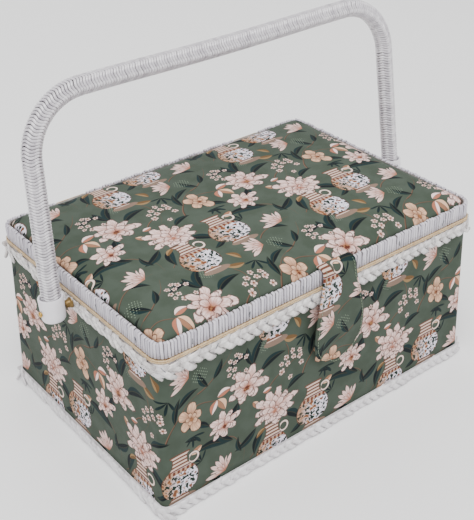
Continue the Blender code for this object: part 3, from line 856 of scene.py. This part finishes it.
def satin(recipe):
    place = here(recipe)
    threads = recipe.noise(recipe.shift(place, 1.0), 900.0, 1.0)
    fold = recipe.noise(place, 22.0, 3.0)
    # painted shade: the satin is darker in the hollows of the folds that the bump below raises
    colour = recipe.mix(recipe.smooth(fold, 0.3, 0.7), tint("e4dcd2"), tint("f3ede6"))
    normal = raised(recipe, fold, 0.004, 0.5)
    normal = raised(recipe, threads, 0.00012, 0.4, normal)
    return {"Base Color": colour, "Roughness": recipe.smooth(threads, 0.2, 0.8) * 0.12 + 0.30,
            "Sheen Weight": 0.25, "Sheen Roughness": 0.35, "Normal": normal}


def rim_strip(recipe):
    shade = own_shade(recipe)
    place = here(recipe)
    grain = recipe.noise(recipe.shift(place, (2600, 2600, 60)), 1.0, 2.0)
    colour = recipe.mix(shade, tint("b7b2bc"), tint("dad5dc"))
    colour = recipe.mix(recipe.smooth(grain, 0.40, 0.70) * 0.40, colour, tint("a8a5b0"))
    # painted shade: the colour darkens along both sides of each strip's outer face, where shade falls in the
    # grooves between the strips
    turned = recipe.side(own_map(recipe), (1, 0, 0))
    edge = recipe.smooth(turned, 0.15, 0.03).math("MAXIMUM", recipe.smooth(turned, 0.36, 0.46))
    colour = recipe.mix(edge * 0.45, colour, tint("837e88"))
    return {"Base Color": colour, "Roughness": shade * 0.12 + 0.34, "Specular IOR Level": 0.5,
            "Normal": raised(recipe, grain, 0.0003, 0.45)}


def strand(colour_low, colour_high, rough, lines, shine, glint_count=1, phase=-math.pi / 2):
    """A shiny twisted yarn, its fibres running along each strand, its colour paler in painted highlights
    repeated along U.
    """
    def cook(recipe):
        shade = own_shade(recipe)
        uv = own_map(recipe)
        fibres = recipe.noise(recipe.shift(uv, (5.0, lines, 1)), 1.0, 2.0)
        along = recipe.side(uv, (math.tau * glint_count, 0, 0))
        # painted highlight: the colour turns paler glint_count times along U, in the middle of each plait or
        # straw strand and on the swellings of the handle yarn
        painted_glint = recipe.smooth((along + phase).math("SINE"), -0.3, 0.9)
        mottle = recipe.smooth(recipe.noise(here(recipe), 300.0, 2.0), 0.25, 0.70)
        colour = recipe.mix(shade * 0.3 + mottle * 0.3 + painted_glint * 0.4, tint(colour_low), tint(colour_high))
        colour = recipe.mix(recipe.smooth(fibres, 0.62, 0.35) * 0.30, colour, tint(colour_low))
        return {"Base Color": colour, "Roughness": recipe.smooth(fibres, 0.3, 0.7) * 0.16 + rough,
                "Coat Weight": shine, "Coat Roughness": 0.16, "Specular IOR Level": 0.55,
                "Normal": raised(recipe, fibres, 0.0005, 0.6)}
    return cook


def plastic(low, high, grain, rough, swing, depth):
    """A moulded plastic; its grain, roughness and its swing, and the strength of its relief."""
    def cook(recipe):
        mottle = recipe.noise(here(recipe), *grain)
        return {"Base Color": recipe.mix(mottle, tint(low), tint(high)), "Roughness": mottle * swing + rough,
                "Specular IOR Level": 0.5, "Normal": raised(recipe, mottle, *depth)}
    return cook


def metal(low, high, rough):
    def cook(recipe):
        scuffs = recipe.noise(here(recipe), 700.0, 3.0)
        return {"Base Color": recipe.mix(scuffs, tint(low), tint(high)), "Metallic": 1.0,
                "Roughness": recipe.smooth(scuffs, 0.3, 0.8) * 0.18 + rough,
                "Normal": raised(recipe, scuffs, 0.0002, 0.2)}
    return cook


def wood(low, high):
    def cook(recipe):
        grain = recipe.noise(recipe.shift(here(recipe), (40, 60, 700)), 1.0, 4.0)
        rings = recipe.smooth((grain * 40).math("SINE"), -1.0, 1.0)
        return {"Base Color": recipe.mix(rings, tint(low), tint(high)), "Roughness": grain * 0.2 + 0.55,
                "Normal": raised(recipe, grain, 0.0005, 0.3)}
    return cook


def board(recipe):
    place = here(recipe)
    fibres = recipe.noise(place, 900.0, 3.0)
    flecks = recipe.smooth(recipe.noise(place, 1800.0, 1.0), 0.62, 0.7)
    colour = recipe.mix(fibres, tint("8f7a60"), tint("a8927a"))
    return {"Base Color": recipe.mix(flecks * 0.5, colour, tint("6d5b45")), "Roughness": fibres * 0.1 + 0.78,
            "Normal": raised(recipe, fibres, 0.0004, 0.4)}


def foam(recipe):
    cells = recipe.node("ShaderNodeTexVoronoi", None, {"Vector": here(recipe), "Scale": 900.0}, "Distance")
    return {"Base Color": recipe.mix(cells, tint("e9e4d2"), tint("f5f1e4")), "Roughness": cells * 0.1 + 0.85,
            "Normal": raised(recipe, cells, 0.0005, 0.6)}


def thread(recipe):
    twist = recipe.noise(here(recipe), 1500.0, 1.0)
    return {"Base Color": recipe.mix(twist, tint("5c6b58"), tint("8c9a80")), "Roughness": twist * 0.2 + 0.5,
            "Normal": raised(recipe, twist, 0.0002, 0.5)}


def pale_floor(recipe):
    place = recipe.noise(here(recipe), 3.0, 2.0)
    return {"Base Color": recipe.mix(place, (0.90, 0.90, 0.90, 1), (0.93, 0.93, 0.93, 1)), "Roughness": 0.7}


# ---------------------------------------------------------------- cloth pieces

def cloth_sleeve(material):
    """The printed cloth on the walls, cut as one band and joined at the back."""
    low, high, rows = 0.0018, BODY_TOP - 0.0004, 20
    heights = [low + (high - low) * k / rows for k in range(rows + 1)]
    loops = [body_outline(0, z) for z in heights] + [body_outline(COVER, z) for z in reversed(heights)]
    heights += heights[::-1]
    girth = body_outline(0, 0.07)
    far = lengths(girth)
    front = next(k for k, p in enumerate(girth) if p.y < -0.1 and p.x > 0)
    offset = girth[front].x - far[front]
    return skin("wall_cloth", loops, material, ring=True, sharp=50,
                uv=lambda row, i: (far[i] + offset - PRINT_X, heights[row] - PRINT_Z))


def padded_lid(material):
    """The printed cover over the lid's foam, tucked down inside the rim."""
    rings = ((0.0030, 0.1534), (0.0002, 0.1542), (0.0001, 0.1570), (0.0016, 0.1594), (0.0050, 0.1612),
             (0.0110, 0.1626), (0.0240, 0.1642), (0.0460, 0.1654), (0.0760, 0.1660))
    loops = [lid_outline(PAD_EDGE + 0.03, 0.1532)] + [lid_outline(PAD_EDGE + inset, z) for inset, z in rings]
    made = skin("padded_lid", loops, material)

    def hold(point):
        return min(1.0, max(0.0, (point.z - 0.1585) / 0.003))

    puffed(made, 4.0, 0.0025, hold, voxel=0.0032)
    lay_uv(made, -LID_PRINT_X, -LID_PRINT_Y)
    return made


def flap_cloth(material):
    """The closing flap: two layers of cloth turned out round its edge."""
    fine = []
    for k in range(len(FLAP_LINE) - 1):
        before, start, end, after = (Vector(FLAP_LINE[min(max(k + n, 0), len(FLAP_LINE) - 1)])
                                     for n in (-1, 0, 1, 2))
        square = 2 * before - 5 * start + 4 * end - after
        cube = 3 * start - before - 3 * end + after
        for step in range(4):
            t = step / 4
            fine.append(0.5 * (2 * start + (end - before) * t + square * t * t + cube * t ** 3))
    fine.append(Vector(FLAP_LINE[-1]))
    fine += [Vector((-0.11415, 0.0737, 0.0060)), Vector((-0.11412, 0.0733, 0.0032))]
    across = (-1, -0.985, -0.93, -0.8, -0.5, 0, 0.5, 0.8, 0.93, 0.985, 1)
    loops, far = [], [0.0]
    for k, (y, z, half) in enumerate(fine):
        a, b = fine[max(k - 1, 0)], fine[min(k + 1, len(fine) - 1)]
        along = Vector((0, b[0] - a[0], b[1] - a[1])).normalized()
        off = Vector((0, along.z, -along.y))
        if k:
            far.append(far[-1] + math.hypot(y - fine[k - 1][0], z - fine[k - 1][1]))
        skew = -0.0012 + 0.0024 * k / len(fine)
        loop = []
        for side in (1, -1):
            for share in (across if side > 0 else across[::-1]):
                thick = 0.00115 * (1 - abs(share) ** 14) ** 0.5 + 0.00005
                thick -= 0.00035 * math.exp(-((abs(share) * half - half + 0.0028) / 0.0007) ** 2)
                loop.append(Vector((FLAP_X + skew + share * half, y, z)) + off * thick * side)
        loops.append(loop)
    right, top = PRINT_X + 0.004, 0.176 - PRINT_Z
    made = skin("flap_cloth", loops, material, sharp=60,
                uv=lambda row, i: (loops[row][i % len(loops[row])].x - right, top - far[row]))
    face_outwards(made)
    return made, fine


def flap_stitching(fine, material):
    """Topstitching close to the flap's edge, on its outer face."""
    path = []
    for k in range(3, len(fine) - 3):
        y, z, half = fine[k]
        path.append((y, z, half - 0.0026, -0.0012 + 0.0024 * k / len(fine)))
    left = [Vector((FLAP_X + skew - half, y - 0.00125, z)) for y, z, half, skew in path]
    right = [Vector((FLAP_X + skew + half, y - 0.00125, z)) for y, z, half, skew in path]
    y, z, half, skew = path[-1]
    turn = [Vector((FLAP_X + skew + half * math.cos(a), y - 0.00125, z - 0.004 * math.sin(a)))
            for a in [math.pi * (1 - k / 8) for k in range(1, 8)]]
    points = left + turn + right[::-1]
    unit = lobes_unit("stitch", [lobe(0.0021, 0.00055, 0.0005, 0.0, (0, 0, 0), rings=4, sides=5)], material)
    total = sum((b - a).length for a, b in zip(points, points[1:]))
    return along_path("flap_stitches", points, unit, round(total / STITCH_PITCH), (0, 0, 1), material, 5,
                      closed=False)


def rim_of_strips(material):
    loop = lid_outline(0, RIM_BOTTOM, step=0.003)
    count = round(lengths(loop)[-1] / STRIP_PITCH)
    return along_path("rim_strips", loop, strip_unit(material), count, (0, 0, 1), material, 11,
                      jitter=(0.03, 0.035, 0.16), swell=0.045, gap=HINGE_HALF + 0.0016)


def plait(name, z, high, pitch, thick, out, material, seed, jitter, swell, gap=0.0):
    """A flat plait round the box, with its strands meeting in a line along its middle."""
    slant = math.radians(24)
    long, wide = pitch * 1.75, high * 0.50
    strands = [lobe(long, wide, thick, slant, (0, 0, high * 0.20), lean=0.0012),
               lobe(long, wide, thick, -slant, (pitch / 2, 0, -high * 0.20), lean=-0.0012)]
    unit = lobes_unit(f"{name}_unit", strands, material)
    loop = [Vector((p.x, p.y, z)) for p in body_outline(-out, z, step=0.003)]
    return along_path(name, loop, unit, round(lengths(loop)[-1] / pitch), (0, 0, 1), material, seed,
                      jitter=jitter, swell=swell, gap=gap)


def plait_backing(frame, node, name, material):
    """The flat tape that a plait is worked on, thin enough to stay behind its strands."""
    made = finished_copy(frame, node, name, material, 0.0002)
    for v in made.data.vertices:
        share = 1 - v.co.z / BODY_TOP
        reach = (TOP_X + (BASE_X - TOP_X) * share + 0.0011, TOP_Y + (BASE_Y - TOP_Y) * share + 0.0011)
        for axis, most in enumerate(reach):
            v.co[axis] = min(most, max(-most, v.co[axis]))
    return made


def screw_unit(material):
    """A small dome-headed screw, facing -Y."""
    profile = ((0.0004, 0.0013), (-0.0002, 0.0013), (-0.00045, 0.0010), (-0.0006, 0.0004))
    return lathe("screw", profile, material, axis="Y", sides=10)


def hinge_screws(name, z, y, material):
    """Two screws in one leaf of each hinge."""
    rows = []
    for side in (1, -1):
        ends = [Vector((side * HINGE_X + dx, y, z)) for dx in (0.0085, -0.0085)]
        rows.append(along_path(f"{name}_{side}", ends, screw_unit(material), 2, (0, 0, 1), material, 47,
                               closed=False))
    return join(name, rows)


def straw_twist(material):
    """Two fine twisted cords, one above the other."""
    pitch, radius = 0.0017, 0.0012
    strands = [lobe(0.0042, 0.0010, 0.0016, math.radians(22), (0, 0, side * 0.00078), rings=5, sides=5)
               for side in (1, -1)]
    unit = lobes_unit("straw_turn", strands, material)
    loop = body_outline(-0.0004 - radius, STRAW_Z, step=0.003)
    return along_path("straw_twist", loop, unit, round(lengths(loop)[-1] / pitch), (0, 0, 1), material, 23,
                      jitter=(0.1, 0.06, 0.06), swell=0.06, gap=HINGE_HALF + 0.0016)


def staples(name, outlined, z, mark, count, size, out, lean, material, seed):
    loop = from_mark([Vector((p.x, p.y, z)) for p in outlined(-out, z, step=0.002)], mark)
    unit = staple_unit(f"{name}_unit", *size, material)
    return along_path(name, loop, unit, count, (0, 0, 1), material, seed, jitter=(0, lean, 0))


# ---------------------------------------------------------------- handle

def handle_path(start, step=0.004):
    """Middle line of the handle where it stands, leaning back from its pivots."""
    foot = GRIP_HEIGHT - BEND
    half = []
    for k in range(round((foot - start) / step)):
        up = start + k * step
        half.append((-(LEG_FOOT + (LEG_TOP - LEG_FOOT) * max(up, 0) / foot), up))
    for k in range(19):
        angle = math.pi / 2 * k / 18
        half.append((-LEG_TOP + BEND - BEND * math.cos(angle), foot + BEND * math.sin(angle)))
    inner = LEG_TOP - BEND
    count = round(inner / step)
    half += [(-inner * (1 - k / count), GRIP_HEIGHT - SAG * math.sin(math.pi / 2 * k / count) ** 2)
             for k in range(1, count + 1)]
    lean = Matrix.Translation((0, 0, PIVOT_Z)) @ Matrix.Rotation(-TILT, 4, "X")
    return [lean @ Vector((x, 0, up)) for x, up in half + [(-x, up) for x, up in half[-2::-1]]]


def handle_wrapping(material):
    path = handle_path(WRAP_START + 0.0012)
    total = sum((b - a).length for a, b in zip(path, path[1:]))
    count = round(total / WRAP_PITCH)
    return along_path("handle_wrapping", path, wrap_unit(material), count, (0, 1, 0), material, 31,
                      closed=False, jitter=(0.03, 0.02, 0.02))


def handle_cup(side, material):
    """The moulded cup at the foot of the handle, hollow where the wrapped bar goes in."""
    profile = ((-0.0040, 0.0015), (-0.0084, 0.0016), (-0.0084, 0.0066), (-0.0082, 0.0074), (-0.0077, 0.0082),
               (-0.0068, 0.0088), (-0.0055, 0.0091), (-0.0020, 0.0093), (0.0040, 0.0095), (0.0105, 0.0097),
               (0.0111, 0.0095), (0.0113, 0.0090), (0.0111, 0.0083), (0.0104, 0.0080), (0.0040, 0.0079),
               (-0.0040, 0.0079))
    made = lathe(f"handle_cup_{SIDES[side]}", profile, material, sides=48, ring=True)
    made.data.transform(Matrix.Translation((0, 0, PIVOT_Z)) @ Matrix.Rotation(-TILT, 4, "X")
                        @ Matrix.Translation((side * LEG_FOOT, 0, 0)))
    return made


def rivet(side, material):
    out = LEG_FOOT + 0.0094
    profile = [(0.1498, 0.0004), (0.1498, 0.0014), (out + 0.0003, 0.0014), (out + 0.0003, 0.0020),
               (out + 0.0006, 0.0022), (out + 0.0012, 0.0022), (out + 0.0018, 0.0018), (out + 0.0022, 0.0011),
               (out + 0.0024, 0.0003)]
    return lathe(f"rivet_{SIDES[side]}", [(side * x, r) for x, r in profile], material,
                 axis="X", middle=(0, 0, PIVOT_Z), sides=24)


def cup_washer(side, material):
    face, end = TOP_X + 0.0034, LEG_FOOT - 0.0100
    profile = [(face, 0.0019), (face, 0.0040), (face + 0.0004, 0.0043), (face + 0.0010, 0.0042),
               (face + 0.0016, 0.0036), (face + 0.0030, 0.0031), (end, 0.0030), (end, 0.0019)]
    return lathe(f"cup_washer_{SIDES[side]}", [(side * x, r) for x, r in profile], material,
                 axis="X", middle=(0, 0, PIVOT_Z), sides=28, ring=True)


# ---------------------------------------------------------------- inside

def wall_lining(material):
    """The satin inside the walls, a little gathered towards its top edge."""
    outer, inner = 0.0044, 0.0056
    low, high = 0.0065, BODY_TOP - 0.0005
    loops = []
    for face, back in ((inner, False), (outer, True)):
        levels = [low + (high - low) * k / 12 for k in range(13)]
        for z in (levels[::-1] if back else levels):
            loop = body_outline(face, z, step=0.0035)
            if not back:
                far = lengths(loop)
                depth = 0.00035 * (z - low) / (high - low)
                middle = Vector((0, 0, z))
                waves = [1 + math.sin(around * 620 + 1.5 * math.sin(around * 70)) for around in far]
                loop = [p + (middle - p).normalized() * depth * wave for p, wave in zip(loop, waves)]
            loops.append(loop)
    return face_outwards(skin("wall_lining", loops, material, ring=True, sharp=60))


def floor_lining(material):
    low, high = 0.0052, 0.0058
    rings = ((0, low), (0, high), (0.004, high + 0.0003), (0.03, high + 0.0004))
    loops = [body_outline(0.0046 + inset, z) for inset, z in rings]
    return face_outwards(skin("floor_lining", loops, material))


def lid_lining(material):
    """Padded satin inside the lid."""
    inset = 0.0047
    rings = ((0.02, 0.1467), (0.004, 0.1468), (0.0006, 0.1473), (0, 0.1482), (0.0004, 0.1493),
             (0.003, 0.1496), (0.03, 0.1497))
    loops = [lid_outline(inset + more, z) for more, z in rings]
    made = face_outwards(skin("padded_lid_lining", loops, material))

    def hold(point):
        if point.z > 0.1480:
            return 0.0
        edge = min(LID_X - abs(point.x), LID_Y - abs(point.y)) - 0.0085
        return min(1.0, max(0.0, edge / 0.015))

    puffed(made, 3.0, 0.0012, hold, voxel=0.0028)
    return made


def pocket(material):
    """A gathered pocket on the lid's lining, closed in a flat form with its mouth to the front."""
    middle_x, middle_y, half_x, half_y, face = 0.055, 0.005, 0.064, 0.046, 0.1447
    columns, rows = 72, 16
    top = []
    for r in range(rows + 1):
        v = r / rows
        row = []
        for c in range(columns + 1):
            u = c / columns * 2 - 1
            gather = math.sin(c * 0.95 + 0.8 * math.sin(c * 0.31)) * (0.25 + 0.75 * (1 - v) ** 1.5)
            belly = (1 - abs(u) ** 4) * (math.sin(math.pi * min(1, v * 0.75 + 0.18)) ** 0.7)
            drop = 0.0006 + 0.0026 * belly + 0.00045 * gather * (1 - abs(u) ** 8)
            drop *= min(1, (1 - v) * 9 + 0.12)
            x = middle_x + u * half_x * (0.975 + 0.025 * v)
            row.append(Vector((x, middle_y + (v * 2 - 1) * -half_y, face - drop)))
        top.append(row)
    verts = [p for row in top for p in row]
    base = len(verts)
    verts += [Vector((p.x, p.y, face + 0.0001)) for row in top for p in row]
    wide = columns + 1
    faces = []
    for r in range(rows):
        for c in range(columns):
            a = r * wide + c
            faces.append((a, a + 1, a + 1 + wide, a + wide))
            faces.append((base + a, base + a + wide, base + a + 1 + wide, base + a + 1))
    edge = [c for c in range(wide)] + [r * wide + columns for r in range(1, rows + 1)]
    edge += [rows * wide + c for c in range(columns - 1, -1, -1)] + [r * wide for r in range(rows - 1, 0, -1)]
    for k, a in enumerate(edge):
        b = edge[(k + 1) % len(edge)]
        faces.append((b, a, base + a, base + b))
    return face_outwards(piece("gathered_pocket", verts, faces, material))


def pin_cushion(material):
    top = 0.1465
    profile = ((top, 0.0268), (top - 0.002, 0.0272), (top - 0.005, 0.0262), (top - 0.008, 0.0225),
               (top - 0.0095, 0.0165), (top - 0.0102, 0.008))
    made = lathe("stuffed_pin_cushion", profile, material, middle=(CUSHION_X, 0, 0), sides=40)

    def hold(point):
        return min(1.0, max(0.0, (top - 0.0012 - point.z) / 0.003))

    puffed(made, 4.0, 0.0012, hold, voxel=0.0022)
    for v in made.data.vertices:
        away = Vector((v.co.x - CUSHION_X, v.co.y))
        turn = math.atan2(away.y, away.x)
        share = min(1, away.length / 0.026)
        v.co.z += 0.0004 * share ** 2 * (1 - share) * 6 * math.cos(turn * 16)
        v.co.z = max(v.co.z, top - 0.0116)
    lay_uv(made, 0.02, 0.01)
    return made


# ---------------------------------------------------------------- room

def room():
    floor = piece("floor", [(-6, -6, 0), (6, -6, 0), (6, 6, 0), (-6, 6, 0)], [(0, 1, 2, 3)],
                  finish_of("pale floor", pale_floor))
    world = bpy.data.worlds.new("soft room")
    bpy.context.scene.world = world
    world.use_nodes = True
    world.node_tree.nodes["Background"].inputs["Color"].default_value = (1, 1, 1, 1)
    world.node_tree.nodes["Background"].inputs["Strength"].default_value = 1.05
    for name, spot, size, power in (("key", (-0.6, -0.8, 2.3), 1.6, 62), ("fill", (1.8, -1.2, 1.3), 1.8, 9),
                                    ("back", (0.3, 2.0, 1.6), 1.8, 14)):
        light = bpy.data.lights.new(name, "AREA")
        light.size = size
        light.energy = power
        made = linked(name, light)
        made.location = spot
        made.rotation_euler = (Vector((0, 0, 0.1)) - Vector(spot)).to_track_quat("-Z", "Y").to_euler()


def camera():
    """The view of the photo, fitted to the box's corners."""
    lens = bpy.data.cameras.new("camera")
    lens.lens = 70.32
    lens.sensor_width = 36
    made = linked("camera", lens)
    right, up, forward = ((0.78203, -0.62311, -0.01283), (0.33873, 0.40767, 0.84798),
                          (0.52315, 0.66749, -0.52988))
    turn = Matrix([right, up, [-f for f in forward]]).transposed().to_4x4()
    made.matrix_world = Matrix.Translation((-0.45159, -0.57160, 0.56633)) @ turn
    bpy.context.scene.camera = made


# ---------------------------------------------------------------- assembly

def place(made, body, slot, *nodes):
    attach(made, body)
    if nodes:
        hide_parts(*nodes)
    return made


def main():
    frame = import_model()
    cloth = finish_of("printed cotton", printed_cloth)
    lining = finish_of("cream satin", satin)
    strip = finish_of("white rim strip", rim_strip)
    # the strand finishes paint highlights into the colour: one in the middle of each plait and straw strand,
    # one on each swelling of the handle yarn
    glossy = finish_of("glossy white plait", strand("9b9594", "f6f2f0", 0.12, 9.0, 0.8))
    matte = finish_of("matte white plait", strand("cbc7c9", "eeecee", 0.45, 9.0, 0.05))
    yarn = finish_of("white handle yarn", strand("a6a0a8", "f5f2f5", 0.12, 6.0, 0.8, WRAP_CRESTS, WRAP_PHASE))
    straw = finish_of("straw yarn", strand("b9976a", "ead6b0", 0.45, 8.0, 0.0))
    cup = finish_of("white cup plastic", plastic("dddadf", "e9e7eb", (90.0, 3.0), 0.26, 0.10, (0.0004, 0.12)))
    tray = finish_of("white tray plastic",
                     plastic("e9ebee", "f4f5f7", (300.0, 2.0), 0.30, 0.12, (0.0003, 0.2)))
    brass = finish_of("brass", metal("a8843f", "c9a45c", 0.26))
    # a darker brass for the washers: its darkness is painted shade, for their narrow place between the cup
    # and the wall
    shaded_brass = finish_of("shaded brass", metal("6b5637", "8f764c", 0.40))
    steel = finish_of("grey steel", metal("77787c", "96979c", 0.36))
    timber = finish_of("frame timber", wood("b58e62", "cfae84"))
    # grey-brown wood for the lid rail and the handle's core, darkened as painted shade: it shows as the dark
    # gaps between the rim strips and between the turns of the winding
    gap_shade_wood = finish_of("lid rail wood in painted shade", wood("77706c", "8f8782"))
    fibreboard = finish_of("fibreboard", board)
    sponge = finish_of("foam", foam)
    sewing = finish_of("sewing thread", thread)

    plain = {fibreboard: ("wall_board", "base_board", "base_underside", "lid_board"),
             timber: ("top_frame", "tray_ledge"), gap_shade_wood: ("lid_rail", "handle_core"),
             sponge: ("lid_pad",), steel: ("front_magnet", "flap_magnet", "pivot_nut", "hinge_pin"),
             brass: ("hinge_box", "hinge_lid")}
    for material, starts in plain.items():
        for name, node in frame["nodes"].items():
            if name.startswith(starts):
                node.data.materials.clear()
                node.data.materials.append(material)

    sleeve = place(cloth_sleeve(cloth), "box", "printed_cloth", "body_cover")
    cover = place(padded_lid(cloth), "lid", "printed_cloth", "lid_cover", "lid_pad")
    flap, fine = flap_cloth(cloth)
    place(flap, "flap", "printed_cloth", "flap_panel")
    place(flap_stitching(fine, sewing), "flap", "printed_cloth")

    place(rim_of_strips(strip), "lid", "rim_strip", "lid_rim_strips")
    place(staples("rim_staples", lid_outline, 0.1512, (-0.130, -LID_Y, 0.1512), 21, (0.0048, 0.0011), 0.0001,
                  0.25, steel, 41), "lid", "steel")
    tape = plait_backing(frame, "rim_braid", "rim_tape", matte)
    strands = plait("rim_plait", 0.1366, 0.0124, 0.0088, 0.0024, 0.0019, glossy, 17, (0.20, 0.10, 0.07), 0.07,
                    gap=HINGE_HALF + 0.0055)
    place(join("rim_plait_on_tape", [strands, tape]), "box", "white_braid", "rim_braid")
    place(staples("braid_staples", body_outline, 0.1385, (-0.155, -0.110, 0.1385), 24, (0.0052, 0.0010),
                  0.0030, 0.9, steel, 43), "box", "steel")
    tape = plait_backing(frame, "base_braid", "base_tape", matte)
    strands = plait("base_plait", 0.0072, 0.0112, 0.0080, 0.0022, 0.0018, matte, 19, (0.10, 0.10, 0.08), 0.06)
    place(join("base_plait_on_tape", [strands, tape]), "box", "white_braid", "base_braid")
    place(straw_twist(straw), "box", "straw_cord", "straw_cord", "straw_cord_back")

    place(handle_wrapping(yarn), "handle", "handle_wrap", "handle_wrap")
    for side, name in SIDES.items():
        place(handle_cup(side, cup), "handle", "white_plastic", f"ferrule_{name}")
        place(rivet(side, brass), "box", "brass", f"pivot_pin_{name}")
        place(cup_washer(side, shaded_brass), "box", "brass", f"pivot_spacer_{name}")

    inside = place(wall_lining(lining), "box", "satin_lining", "body_lining")
    under = place(floor_lining(lining), "box", "satin_lining", "base_lining")
    place(lid_lining(lining), "lid", "satin_lining", "lid_lining")
    place(pocket(lining), "lid", "satin_lining", "lid_pocket")
    place(pin_cushion(cloth), "lid", "printed_cloth", "pin_cushion")
    for side in ("left", "right"):
        for leaf in ("box", "lid"):
            node = f"hinge_{leaf}_leaf_{side}"
            leaf_metal = finished_copy(frame, node, f"brass_{leaf}_leaf_{side}", brass, 0.00018)
            place(leaf_metal, leaf, "brass", node)
    place(hinge_screws("box_leaf_screws", 0.1380, 0.1110, brass), "box", "brass")
    place(hinge_screws("lid_leaf_screws", 0.1535, 0.1112, brass), "lid", "brass")
    for side, body in (("left", "left_tray"), ("right", "right_tray")):
        node = f"tray_{side}"
        place(finished_copy(frame, node, f"moulded_tray_{side}", tray, 0.0004), body, "tray_plastic", node)

    room()
    camera()


main()
